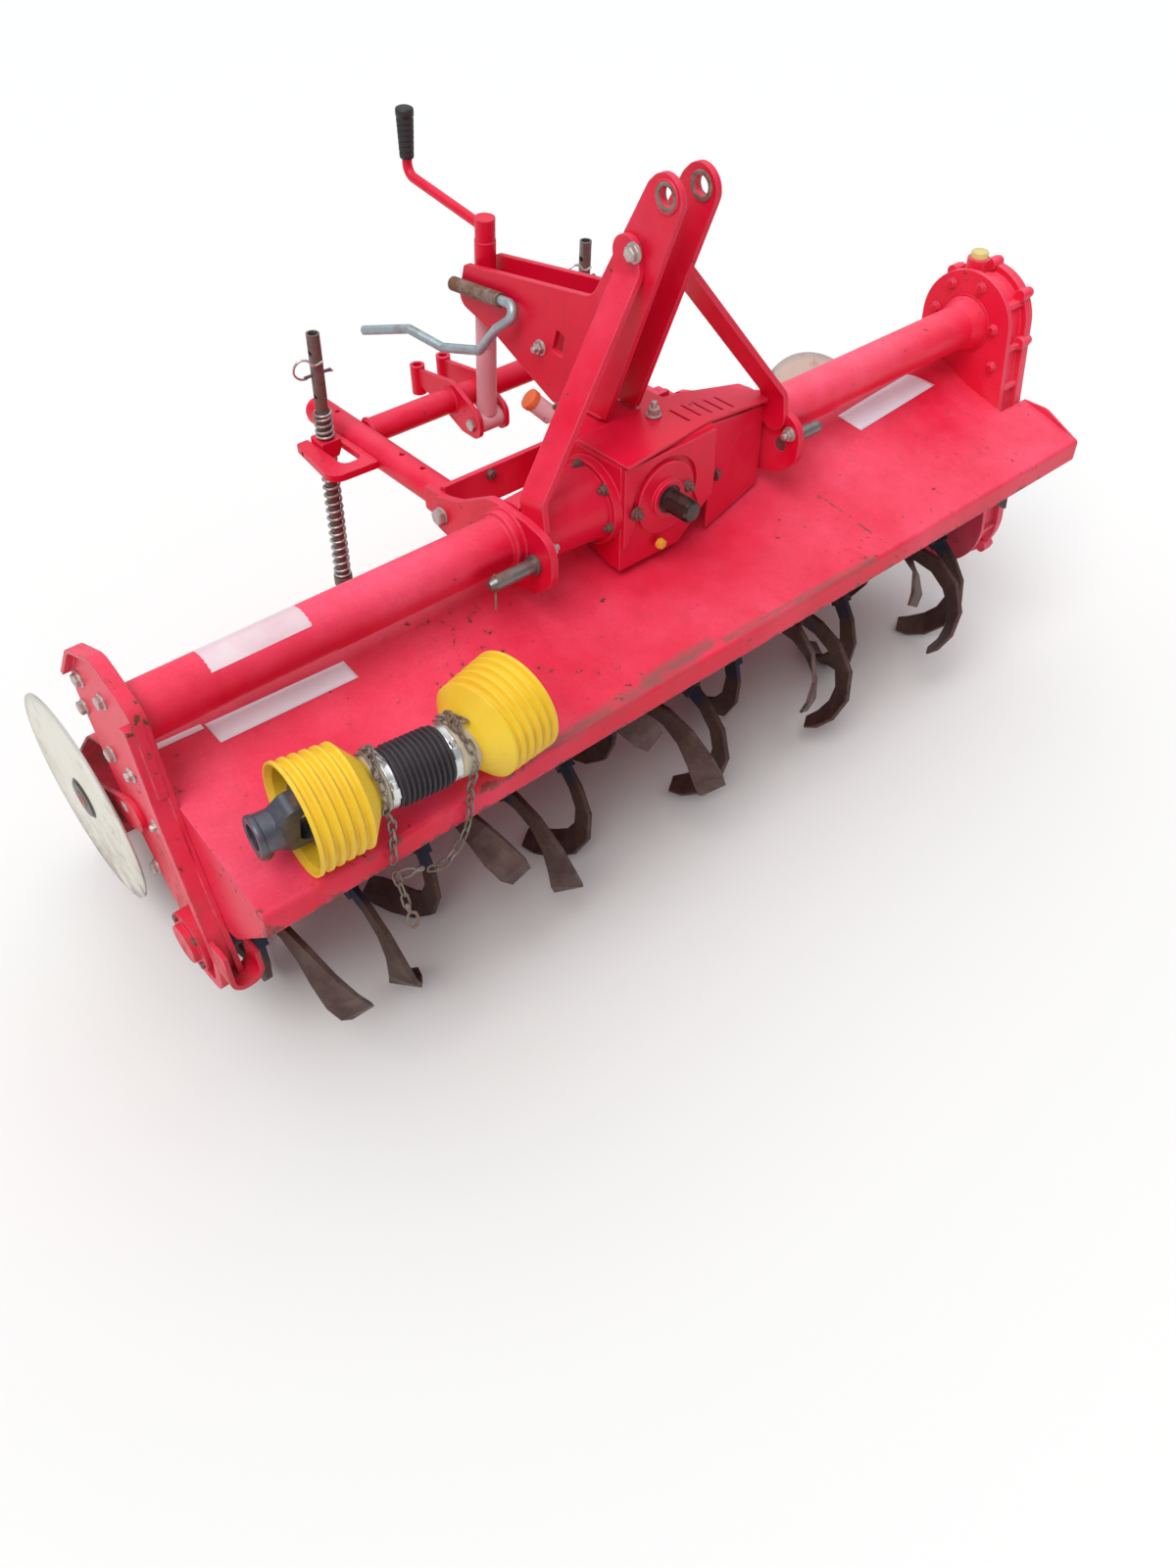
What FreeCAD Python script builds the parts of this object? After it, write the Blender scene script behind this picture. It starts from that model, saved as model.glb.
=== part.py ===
import FreeCAD, Part
import math
import os
from FreeCAD import Placement, Rotation, Vector

# Three-point rotary tiller. Millimetres.
# The row frame has +X from the side plate to the chain case, +Y rearward, +Z up,
# and its origin on the ground under the middle of the machine.
# Every piece is drawn about the axis of the beam and then set in the row frame.

doc = FreeCAD.newDocument("rotary_tiller")
sheet = doc.addObject("Spreadsheet::Sheet", "Sizes")

# Driving dimensions: name, value
SIZES = [
    # the beam and what stands on the ground
    ("middle_shift", 152.7),
    ("rotor_drop", 380.0),
    ("rotor_back", -30.0),
    ("tine_radius", 240.0),
    ("beam_left", 835.0),
    ("beam_right", 805.0),
    ("beam_diameter", 76.3),
    ("beam_wall", 6.0),
    ("collar_width", 14.0),
    ("collar_rim", 6.0),
    ("hitch_half_span", 259.0),
    ("hitch_thick", 12.0),
    ("lower_pin_diameter", 22.0),
    ("lower_pin_length", 82.0),
    ("lower_pin_y", -60.0),
    ("lower_pin_z", -14.0),
    # gearbox and its guards
    ("gearbox_half_width", 100.0),
    ("gearbox_front", 62.0),
    ("gearbox_back", 95.0),
    ("gearbox_top", 78.0),
    ("stub_left", 16.0),
    ("stub_diameter", 34.9),
    ("stub_length", 66.0),
    ("retainer_diameter", 112.0),
    ("guard_thick", 4.5),
    # mast, braces and the ears of the top link
    ("mast_half_gap", 26.0),
    ("mast_thick", 9.0),
    ("ear_y", -64.0),
    ("ear_z", 428.0),
    ("ear_bore", 25.6),
    ("brace_width", 50.0),
    ("brace_thick", 9.0),
    # side plate, chain case and hood
    ("side_plate_thick", 8.0),
    ("rim_width", 16.0),
    ("rim_depth", 22.0),
    ("edge_depth", 12.0),
    ("chain_case_thick", 62.0),
    ("chain_case_top_radius", 95.0),
    ("chain_case_foot_radius", 110.0),
    ("hood_thick", 4.0),
    ("hood_right", 880.0),
    ("lip_reach", 240.0),
    # rear cover
    ("cover_hinge_y", 222.0),
    ("cover_hinge_z", -228.0),
    ("cover_thick", 4.0),
    ("cover_left", 822.0),
    ("cover_right", 786.0),
    ("hinge_pin_diameter", 12.0),
    # rotor
    ("shaft_diameter", 76.0),
    ("tine_stations", 12.0),
    ("tine_thick", 9.0),
    ("tine_reach", 44.0),
    # side discs
    ("disc_diameter", 350.0),
    ("disc_y", 298.0),
    ("disc_z", -350.0),
    # depth frame, spring rods and screw jack
    ("frame_hinge_y", 163.0),
    ("frame_hinge_z", -42.0),
    ("frame_tube_diameter", 48.6),
    ("frame_tube_inset", 25.0),
    ("frame_tube_end", 575.0),
    ("crossbar_diameter", 42.7),
    ("crossbar_y", 450.0),
    ("rod_outset", 54.0),
    ("rod_y", 459.0),
    ("rod_diameter", 21.0),
    ("rod_top", 152.0),
    ("rod_foot_y", 487.0),
    ("rod_foot_z", -446.0),
    ("jack_pin_y", 389.0),
    ("jack_pin_z", -64.0),
    ("jack_trunnion_y", 370.0),
    ("jack_trunnion_z", 176.0),
    ("jack_tube_diameter", 34.0),
    ("barrel_above", 70.0),
    ("crank_throw", 200.0),
    ("crank_rise", 13.0),
    ("grip_length", 76.0),
    # driveline left lying on the hood
    ("driveline_height", 78.0),
    ("driveline_front", 207.0),
    ("driveline_inset", 29.0),
    ("bellows_length", 100.0),
    # clearances
    ("seat_gap", 0.2),
    ("running_gap", 0.05),
    ("loose_pin_gap", 1.0),
]
for row, (name, value) in enumerate(SIZES, start=1):
    sheet.set("A%d" % row, name)
    sheet.set("B%d" % row, str(value))
    sheet.setAlias("B%d" % row, name)
doc.recompute()


def size(name):
    return float(sheet.get(name))


SHIFT_Y = "-Sizes.middle_shift"
SHIFT_Z = "Sizes.rotor_drop + Sizes.tine_radius"
X_AXIS = Vector(1, 0, 0)
Y_AXIS = Vector(0, 1, 0)
Z_AXIS = Vector(0, 0, 1)
PLANES = {"X": "YZ_Plane", "Y": "XZ_Plane", "Z": "XY_Plane"}

nodes = []


# Outlines: a list of corners (u, v, radius) becomes straight edges joined by tangent arcs
def rounded(corners):
    count = len(corners)
    starts = []
    arcs = []
    for i, (u, v, radius) in enumerate(corners):
        here = Vector(u, v, 0)
        before = Vector(corners[i - 1][0], corners[i - 1][1], 0) - here
        after = Vector(corners[(i + 1) % count][0], corners[(i + 1) % count][1], 0) - here
        turn = before.getAngle(after)
        if radius <= 0 or abs(turn - math.pi) < 1e-4:
            starts.append((here, here))
            arcs.append(None)
            continue
        reach = radius / math.tan(turn / 2)
        first = here + before.normalize() * reach
        last = here + after.normalize() * reach
        middle = here + (before + after).normalize() * (radius / math.sin(turn / 2) - radius)
        starts.append((first, last))
        arcs.append(Part.Arc(first, middle, last))
    edges = []
    for i in range(count):
        if arcs[i] is not None:
            edges.append(arcs[i])
        end = starts[i][1]
        begin = starts[(i + 1) % count][0]
        if (begin - end).Length > 1e-6:
            edges.append(Part.LineSegment(end, begin))
    return edges


# A bent strip: the middle line (u, v, bend radius) and its thickness give a closed outline
def strip(path, thick):
    def offset(side):
        line = []
        for i, (u, v, radius) in enumerate(path):
            here = Vector(u, v, 0)
            into = (here - Vector(path[i - 1][0], path[i - 1][1], 0)) if i > 0 else None
            out = (Vector(path[i + 1][0], path[i + 1][1], 0) - here) if i < len(path) - 1 else None
            into = into.normalize() if into else out.normalize()
            out = out.normalize() if out else into
            left_in = Vector(-into.y, into.x, 0)
            left_out = Vector(-out.y, out.x, 0)
            mid = (left_in + left_out).normalize()
            reach = thick / 2 / mid.dot(left_in)
            place = here + mid * (reach * side)
            turning = into.cross(out).z
            bend = 0.0
            if radius > 0:
                bend = radius - side * thick / 2 * (1 if turning > 0 else -1)
            line.append((place.x, place.y, bend))
        return line
    return offset(1) + offset(-1)[::-1]


def circle(u, v, radius):
    return [Part.Circle(Vector(u, v, 0), Z_AXIS, radius)]


def polygon_of_tangents(u1, v1, r1, u2, v2, r2):
    """Outline round two circles of different size, as two arcs and two tangent lines."""
    gap = math.hypot(u2 - u1, v2 - v1)
    heading = math.atan2(v2 - v1, u2 - u1)
    lean = math.acos((r1 - r2) / gap)
    a = heading + lean
    b = heading - lean

    def at(u, v, r, angle):
        return Vector(u + r * math.cos(angle), v + r * math.sin(angle), 0)
    back = heading + math.pi
    return [Part.Arc(at(u1, v1, r1, a), at(u1, v1, r1, back), at(u1, v1, r1, b)),
            Part.LineSegment(at(u1, v1, r1, b), at(u2, v2, r2, b)),
            Part.Arc(at(u2, v2, r2, b), at(u2, v2, r2, heading), at(u2, v2, r2, a)),
            Part.LineSegment(at(u2, v2, r2, a), at(u1, v1, r1, a))]


def wire_of(edges):
    return Part.Wire(Part.__sortEdges__([edge.toShape() for edge in edges]))


def in_row(obj):
    """Sets a piece that is drawn about the beam in the row frame."""
    obj.setExpression("Placement.Base.y", SHIFT_Y)
    obj.setExpression("Placement.Base.z", SHIFT_Z)
    nodes.append(obj)
    return obj


def origin_plane(body, axis):
    for feature in body.Origin.OriginFeatures:
        if feature.Role == PLANES[axis]:
            return feature
    raise RuntimeError("no plane " + axis)


def new_body(label):
    body = doc.addObject("PartDesign::Body", label)
    body.Label = label
    return in_row(body)


def sketch_on(body, name, axis, offset, outlines):
    """A sketch square to an axis: on X its u, v are y, z; on Y they are x, z; on Z x, y."""
    sketch = body.newObject("Sketcher::SketchObject", name)
    sketch.AttachmentSupport = (origin_plane(body, axis), [""])
    sketch.MapMode = "FlatFace"
    if offset is not None:
        sketch.setExpression("AttachmentOffset.Base.z", offset)
    for outline in outlines:
        for edge in outline:
            sketch.addGeometry(edge, False)
    return sketch


def pad(body, name, axis, offset, length, outlines):
    """Pads outlines by a length towards + on X and Z, and towards -Y on Y."""
    sketch = sketch_on(body, name + "_outline", axis, offset, outlines)
    feature = body.newObject("PartDesign::Pad", name)
    feature.Profile = sketch
    feature.setExpression("Length", length)
    body.Tip = feature
    return feature


def turned(body, name, profile):
    """Turns an (x, radius) profile about the X axis of the body."""
    sketch = sketch_on(body, name + "_profile", "Z", None, [rounded([(x, r, 0) for x, r in profile])])
    feature = body.newObject("PartDesign::Revolution", name)
    feature.Profile = sketch
    feature.ReferenceAxis = (sketch, ["H_Axis"])
    feature.Angle = 360.0
    body.Tip = feature
    return feature


def set_down(shape, place):
    """Moves the geometry itself, so that the shape is left with no placement of its own."""
    return shape.transformed(place.toMatrix(), True)


def shape_node(label, shape):
    feature = doc.addObject("Part::Feature", label)
    feature.Label = label
    place = shape.Placement
    shape.Placement = Placement()
    feature.Shape = set_down(shape, place)
    return in_row(feature)


def prism(edges, direction):
    return Part.Face(wire_of(edges)).extrude(direction)


def yz_prism(edges, x, length):
    """Extrudes an outline given in y, z along X from x by length."""
    turn = Placement(Vector(x, 0, 0), Rotation(Vector(1, 1, 1), 120))
    return set_down(prism(edges, Vector(0, 0, length)), turn)


def xz_prism(edges, y, length):
    """Extrudes an outline given in x, z along Y from y by length."""
    turn = Placement(Vector(0, y, 0), Rotation(X_AXIS, 90))
    return set_down(prism(edges, Vector(0, 0, -length)), turn)


def cylinder(radius, start, end):
    return Part.makeCylinder(radius, (end - start).Length, start, end - start)


def tube_along(points, radius, bend):
    """A round bar that follows points with tangent arcs of one bend radius."""
    corners = [points[0]]
    edges = []
    last = points[0]
    for i in range(1, len(points) - 1):
        here = points[i]
        before = (points[i - 1] - here).normalize()
        after = (points[i + 1] - here).normalize()
        turn = before.getAngle(after)
        reach = bend / math.tan(turn / 2)
        first = here + before * reach
        end = here + after * reach
        middle = here + (before + after).normalize() * (bend / math.sin(turn / 2) - bend)
        edges.append(Part.LineSegment(last, first).toShape())
        edges.append(Part.Arc(first, middle, end).toShape())
        last = end
    edges.append(Part.LineSegment(last, points[-1]).toShape())
    path = Part.Wire(edges)
    start = (points[1] - points[0]).normalize()
    ring = Part.Wire(Part.Circle(points[0], start, radius).toShape())
    return path.makePipeShell([ring], True, False)


# Values that several pieces share
beam_r = size("beam_diameter") / 2
beam_left = size("beam_left")
beam_right = size("beam_right")
hitch_outer = size("hitch_half_span")
hitch_inner = hitch_outer - size("hitch_thick")
pin_y = size("lower_pin_y")
pin_z = size("lower_pin_z")
pin_r = size("lower_pin_diameter") / 2
seat = size("seat_gap")
rotor_y = size("rotor_back")
rotor_z = -size("rotor_drop")
hinge_y = size("frame_hinge_y")
hinge_z = size("frame_hinge_z")
hinge_bolt_r = 8.0
swivel_half = 18.0
swivel_pin_r = 4.0
jack_pin_r = 9.0
trunnion_r = 9.0
journal_r = 25.0
hood_t = size("hood_thick")
hood_crest_z = -82.0
hood_bend_y = -35.0
hood_bend_z = -110.0
lip_y = -size("lip_reach")
lip_z = -165.0
lip_drop = 36.0
tube_x = hitch_inner - size("frame_tube_inset")
rod_x = tube_x + size("rod_outset")


# The hood's section, from the lip at the front over the crest to the hinge at the rear
HOOD_PATH = [(lip_y, lip_z - lip_drop, 0), (lip_y, lip_z, 6), (hood_bend_y, hood_bend_z, 60),
             (25.0, hood_crest_z, 50), (75.0, hood_crest_z, 60), (165.0, -135.0, 60),
             (size("cover_hinge_y") - 14.0, size("cover_hinge_z") + 26.0, 0)]


def make_beam():
    for label, start, end, collar_at in (("left_beam_tube", -beam_left, -hitch_outer, -hitch_outer),
                                         ("right_beam_tube", hitch_outer, beam_right, hitch_outer)):
        inner = beam_r - size("beam_wall")
        rim = beam_r + size("collar_rim")
        width = size("collar_width")
        body = new_body(label)
        if start < 0:
            profile = [(start, inner), (start, beam_r), (end - width - 6, beam_r), (end - width, rim),
                       (end, rim), (end, inner)]
        else:
            profile = [(start, inner), (start, rim), (start + width, rim), (start + width + 6, beam_r),
                       (end - 30, beam_r), (end, beam_r + 12), (end, inner)]
        turned(body, label + "_turned", profile)


def make_hitch_plates():
    crest = hood_crest_z + hood_t / 2 + seat
    outline = [(188, -18, 22), (188, -66, 22), (120, crest, 10), (0, crest, 12), (-62, -64, 20),
               (-96, -34, 34), (-96, 32, 36), (-40, 44, 40), (40, 46, 60), (120, 2, 60)]
    for label, start in (("left_hitch_plate", -hitch_outer), ("right_hitch_plate", hitch_inner)):
        body = new_body(label)
        offset = "-Sizes.hitch_half_span" if start < 0 else "Sizes.hitch_half_span - Sizes.hitch_thick"
        pad(body, label + "_pad", "X", offset, "Sizes.hitch_thick",
            [rounded(outline), circle(pin_y, pin_z, pin_r + seat),
             circle(hinge_y, hinge_z, hinge_bolt_r + seat)])


def make_lower_pins():
    length = size("lower_pin_length")
    for label, side in (("left_lower_pin", -1), ("right_lower_pin", 1)):
        body = doc.addObject("PartDesign::Body", label)
        body.Label = label
        inner = side * hitch_inner
        face = side * (hitch_outer + seat)
        tip = face + side * length
        outline = [(inner, 0), (inner, pin_r), (face, pin_r), (face, pin_r + 4), (face + side * 6, pin_r + 4),
                   (face + side * 6, pin_r), (tip - side * 10, pin_r), (tip, pin_r - 5), (tip, 0)]
        turned(body, label + "_turned", outline)
        body.setExpression("Placement.Base.y", SHIFT_Y + " + Sizes.lower_pin_y")
        body.setExpression("Placement.Base.z", SHIFT_Z + " + Sizes.lower_pin_z")
        nodes.append(body)


def make_gearbox():
    front = -size("gearbox_front")
    back = size("gearbox_back")
    top = size("gearbox_top")
    half = size("gearbox_half_width")
    crest = hood_crest_z + hood_t / 2 + seat
    side = [(front, top, 8), (back, top, 12), (back, crest + 24, 12), (60, crest + 4, 6), (30, crest + 4, 6),
            (hood_bend_y - 4, hood_bend_z + 12, 6), (front, hood_bend_z + 9, 4)]
    face = [(-half, top, 6), (half - 10, top, 6), (half - 10, -40, 6), (20, -100, 10), (-half, -101, 6)]
    block = yz_prism(rounded(side), -half, 2 * half)
    block = block.common(xz_prism(rounded(face), front, back - front))
    retainer_r = size("retainer_diameter") / 2
    centre = Vector(-size("stub_left"), front, 0)
    ring = cylinder(retainer_r, centre - Y_AXIS * 9, centre + Y_AXIS * 2)
    collar = cylinder(30.0, centre - Y_AXIS * 16, centre)
    bore = cylinder(22.0 + size("running_gap"), centre - Y_AXIS * 20, centre + Y_AXIS * 22)
    shape = block.fuse([ring, collar])
    for x_face, x_end in ((-half + 2, -hitch_inner + seat), (half - 12, hitch_inner - seat)):
        direction = 1 if x_end > 0 else -1
        flange = cylinder(66.0, Vector(x_face, 0, 0), Vector(x_face + direction * 16, 0, 0))
        neck = Part.makeCone(58.0, 50.0, abs(x_end - x_face), Vector(x_face, 0, 0), Vector(direction, 0, 0))
        shape = shape.fuse([flange, neck])
    space_corners = ((front - 60, -101), (hood_bend_y - 6, hood_bend_z + 10), (28, crest), (80, crest),
                     (back + 30, -86), (back + 30, -200), (front - 60, -200))
    hood_space = yz_prism(rounded([(u, v, 0) for u, v in space_corners]), -hitch_outer, 2 * hitch_outer)
    # the trumpets are cut away for the feet of the braces and, on the right, behind the front web
    foot = size("brace_thick") + 2 * seat
    left_foot = Part.makeBox(foot, 66, 130, Vector(-hitch_inner, -78, 0))
    right_foot = Part.makeBox(foot, 66, 130, Vector(hitch_inner - foot, -78, 0))
    web_start, web_end = web_line()
    back_off = Vector(0, size("guard_thick") + 2 * seat, 0)
    past = (web_end - web_start).normalize() * 20
    ahead = [web_start - past * 0.05 + back_off, web_end + past + back_off,
             Vector(hitch_outer, front - 60, 0), Vector(half - 10, front - 60, 0)]
    ahead = prism(rounded([(v.x, v.y, 0) for v in ahead]), Vector(0, 0, 400)).translated(Vector(0, 0, -200))
    shape = shape.cut([bore, hood_space, left_foot, right_foot, ahead]).removeSplitter()
    shape_node("gearbox", shape)


def make_input_stub():
    # six splines round the shaft, with a plain journal in the gearbox
    front = -size("gearbox_front")
    r = size("stub_diameter") / 2
    body = doc.addObject("PartDesign::Body", "input_stub")
    body.Label = "input_stub"
    start = front + 20.0
    journal_end = front - 14.0
    tip = front - size("stub_length")
    profile = [(start, 0), (start, 22.0), (journal_end, 22.0), (journal_end, r), (tip + 4, r), (tip, r - 4),
               (tip, 0)]
    turned(body, "stub_turned", profile)
    doc.recompute()
    sketch = sketch_on(body, "spline_gap_outline", "X", None,
                       [rounded([(-4.2, r - 3.6, 0), (4.2, r - 3.6, 0), (4.2, r + 6, 0), (-4.2, r + 6, 0)])])
    sketch.AttachmentOffset = Placement(Vector(0, 0, tip), Rotation())
    cut = body.newObject("PartDesign::Pocket", "spline_gap")
    cut.Profile = sketch
    cut.Length = journal_end - tip - 8
    cut.Reversed = True
    body.Tip = cut
    doc.recompute()
    pattern = body.newObject("PartDesign::PolarPattern", "spline_gaps")
    pattern.Originals = [cut]
    pattern.Axis = (sketch, ["N_Axis"])
    pattern.Angle = 360.0
    pattern.Occurrences = 6
    body.Tip = pattern
    # the shaft is turned about X, so it is set along Y
    body.Placement = Placement(Vector(0, 0, 0), Rotation(Z_AXIS, 90))
    body.setExpression("Placement.Base.x", "-Sizes.stub_left")
    body.setExpression("Placement.Base.y", SHIFT_Y)
    body.setExpression("Placement.Base.z", SHIFT_Z)
    nodes.append(body)


def web_line():
    """The front web's ends in plan, from the gearbox face to the foot of the right brace."""
    start = Vector(size("gearbox_half_width") - 10 + seat + 1, -size("gearbox_front") + 6, 0)
    end = Vector(hitch_inner - size("brace_thick") - 3 * seat, -26, 0)
    return start, end


def make_guards():
    thick = size("guard_thick")
    front = -size("gearbox_front")
    half = size("gearbox_half_width")
    # the web from the gearbox face to the foot of the right brace
    start, end = web_line()
    along = end - start
    lean = math.degrees(math.atan2(along.y, along.x))
    low = hood_bend_z + 14
    web = xz_prism(rounded([(0, low - 8, 0), (0, 74, 4), (along.Length, 42, 4), (along.Length, low + 3, 0)]),
                   0, thick)
    web.Placement = Placement(start, Rotation(Z_AXIS, lean))
    shape_node("front_web", web)
    # the slotted top cover, from the gearbox top down to the right hitch plate
    top = size("gearbox_top") + seat + thick / 2
    edge_x = end.x
    section = [(-half, top, 0), (half - 16, top, 30), (edge_x, 56, 0)]
    fall = xz_prism(rounded(strip(section, thick)), -200, 400)
    plan = [(-half, front - 14, 6), (edge_x, -36, 6), (edge_x, 30, 6), (half + 20, 44, 20), (-half, 34, 6)]
    cover = fall.common(prism(rounded(plan), Vector(0, 0, 400)))
    slots = []
    for i in range(5):
        x = 60 + 24 * i
        slot = rounded([(x - 3, -36, 2.9), (x + 3, -36, 2.9), (x + 3, 8, 2.9), (x - 3, 8, 2.9)])
        slots.append(prism(slot, Vector(0, 0, 400)))
    cover = cover.cut(slots)
    shape_node("top_cover", cover)


def make_mast():
    ear_y = size("ear_y")
    ear_z = size("ear_z")
    foot = size("gearbox_top") + size("guard_thick") + 2 * seat
    gear_back = size("gearbox_back")
    outline = [(ear_y - 33, ear_z + 6, 30), (ear_y + 6, ear_z + 36, 30), (ear_y + 34, ear_z + 10, 30),
               (76, 258, 40), (376, 214, 10), (398, 150, 20), (300, 124, 30), (168, 66, 24),
               (gear_back + 14, 66, 4), (gear_back + seat, 66, 0), (gear_back + seat, foot, 0), (46, foot, 4)]
    window = [(136, 180, 3), (143, 146, 3), (166, 150, 3), (154, 186, 3)]
    for label, offset in (("left_mast_plate", "-Sizes.mast_half_gap - Sizes.mast_thick"),
                          ("right_mast_plate", "Sizes.mast_half_gap")):
        body = new_body(label)
        pad(body, label + "_pad", "X", offset, "Sizes.mast_thick",
            [rounded(outline), circle(ear_y, ear_z, size("ear_bore") / 2),
             circle(size("jack_trunnion_y"), size("jack_trunnion_z"), trunnion_r + size("running_gap")),
             rounded(window)])


def make_braces():
    thick = size("brace_thick")
    width = size("brace_width")
    top_x = size("mast_half_gap") + size("mast_thick") + thick / 2 + seat
    foot_x = hitch_inner - thick / 2 - seat
    top_z = 367.0
    foot_z = 6.0
    round_end = width / 2 - 0.5
    ends = rounded([(-width / 2, foot_z, round_end), (width / 2, foot_z, round_end),
                    (width / 2, top_z, round_end), (-width / 2, top_z, round_end)])
    for label, side in (("left_brace", -1), ("right_brace", 1)):
        path = [(side * top_x, top_z, 0), (side * top_x, 318, 20),
                (side * foot_x, 66, 20), (side * foot_x, foot_z, 0)]
        if side < 0:
            path = path[::-1]
        bar = xz_prism(rounded(strip(path, thick)), -width / 2, width)
        bar = bar.common(yz_prism(ends, -hitch_outer, 2 * hitch_outer))
        bar.rotate(Vector(0, 0, 345), X_AXIS, -8.0)
        shape_node(label, bar)


def make_side_plate():
    thick = size("side_plate_thick")
    outer = -beam_left - thick
    outline = [(-52, 40, 30), (30, 76, 40), (120, 40, 60), (196, -60, 60), (160, -240, 80), (90, -400, 60),
               (30, -476, 30), (-70, -482, 30), (-112, -400, 50), (-64, -160, 100)]
    plate = yz_prism(rounded(outline), outer, thick)
    # a thin edge over the rounded top, then a wide band down the front and along the bottom
    edge = [(182, -38, 0), (118, 37, 57), (30, 73, 37), (-49, 38, 27), (-58, -90, 0)]
    top_edge = yz_prism(rounded(strip(edge, 6.0)), outer - size("edge_depth"), size("edge_depth") + 1)
    band = [(-44, 20, 0), (-52, -120, 60), (-92, -380, 60), (-78, -446, 30), (62, -456, 0)]
    rim = yz_prism(rounded(strip(band, size("rim_width"))), outer - size("rim_depth"), size("rim_depth") + 1)
    # the foot: a strip that curls under the front corner
    out_x = outer - size("rim_depth") + 4
    in_x = -beam_left + 18
    curl = [(out_x, -330, 0), (out_x, -404, 20), (in_x, -404, 20), (in_x, -350, 0)]
    foot = xz_prism(rounded(strip(curl, 7.0)), -132, 40)
    bore = cylinder(journal_r + size("running_gap"), Vector(outer - 60, rotor_y, rotor_z),
                    Vector(outer + 60, rotor_y, rotor_z))
    shape_node("side_plate", plate.fuse([top_edge, rim, foot]).cut(bore).removeSplitter())


def make_end_bearing():
    thick = size("side_plate_thick")
    outer = -beam_left - thick
    housing = cylinder(46.0, Vector(outer - seat, rotor_y, rotor_z), Vector(outer - 28, rotor_y, rotor_z))
    cap = cylinder(30.0, Vector(outer - 20, rotor_y, rotor_z), Vector(outer - 37, rotor_y, rotor_z))
    shape_node("end_bearing", housing.fuse(cap).removeSplitter())


def make_chain_case():
    start = beam_right
    thick = size("chain_case_thick")
    r1 = size("chain_case_top_radius")
    r2 = size("chain_case_foot_radius")

    def outline(inset, x, length):
        return yz_prism(polygon_of_tangents(0, 0, r1 - inset, rotor_y, rotor_z, r2 - inset), x, length)
    body = outline(12, start, thick)
    near_flange = outline(2, start, 9)
    far_flange = outline(0, start + thick - 13, 13)
    # level ribs between the flanges, and lobes for the bolts on the far one
    slats = []
    rib_count = 8
    for i in range(rib_count):
        z = r1 - 50 + i * (rotor_z - r1 - r2 + 80) / (rib_count - 1)
        slats.append(Part.makeBox(thick, 600, 7, Vector(start, -300, z)))
    ribs = outline(4, start, thick).common(Part.makeCompound(slats))
    lobes = []
    for angle in (-12, 40, 90, 140, 192):
        a = math.radians(angle)
        lobes.append((r1 * math.cos(a), r1 * math.sin(a)))
    for angle in (212, 262, 312):
        a = math.radians(angle)
        lobes.append((rotor_y + r2 * math.cos(a), rotor_z + r2 * math.sin(a)))
    bosses = [yz_prism(circle(y, z, 11.0), start + thick - 22, 22) for y, z in lobes]
    plug_y = 18.0
    plug_x = start + 30
    neck = cylinder(20.0, Vector(plug_x, plug_y, 0), Vector(plug_x, plug_y, r1 + 10))
    bore = cylinder(journal_r + size("running_gap"), Vector(start - 5, rotor_y, rotor_z),
                    Vector(start + 30, rotor_y, rotor_z))
    case = body.fuse([near_flange, far_flange, ribs, neck] + bosses).cut(bore)
    shape_node("chain_case", case.removeSplitter())
    cover = outline(2, start + thick + seat, 8)
    cover = cover.fuse([yz_prism(circle(y, z, 9.0), start + thick + seat, 8) for y, z in lobes])
    shape_node("chain_case_cover", cover.removeSplitter())
    rim = Vector(plug_x, plug_y, r1 + 10 + seat)
    cap = cylinder(16.0, rim, rim + Z_AXIS * 8).fuse(cylinder(11.0, rim, rim + Z_AXIS * 13))
    shape_node("filler_plug", cap.removeSplitter())


def make_hood():
    left = -beam_left + seat
    right = size("hood_right")
    sheet_metal = yz_prism(rounded(strip(HOOD_PATH, hood_t)), left, right - left)
    # the notch that goes round the chain case
    gap = 5.0
    round_case = polygon_of_tangents(0, 0, size("chain_case_top_radius") + gap, rotor_y, rotor_z,
                                     size("chain_case_foot_radius") + gap)
    notch_start = beam_right - seat
    notch = yz_prism(round_case, notch_start, right)
    behind = Part.makeBox(right, 600, 600, Vector(notch_start, rotor_y, -500))
    sheet_metal = sheet_metal.cut([notch, behind])
    under = [(lip_y, lip_z - lip_drop, 0), (lip_y, lip_z - 4, 0), (hood_bend_y, hood_bend_z - 1, 0),
             (hood_bend_y, -300, 60), (-110, -330, 40)]
    panel = yz_prism(rounded(under), left, hood_t)
    # the right end is closed by a plate whose top edge stands a little above the sheet
    slope = (hood_bend_z - lip_z) / (hood_bend_y - lip_y)
    case_front = -(size("chain_case_top_radius") + gap) - 18

    def on_sheet(y, above):
        return lip_z + (y - lip_y) * slope + above
    end_plate = [(lip_y, lip_z - lip_drop, 0), (lip_y, lip_z + 1, 0), (-166, on_sheet(-166, 16), 30),
                 (case_front, on_sheet(case_front, 3), 0), (case_front, on_sheet(case_front, -16), 0)]
    closing = yz_prism(rounded(end_plate), right - hood_t, hood_t)
    hood = sheet_metal.fuse([panel, closing]).removeSplitter()
    shape_node("hood", hood)


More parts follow.
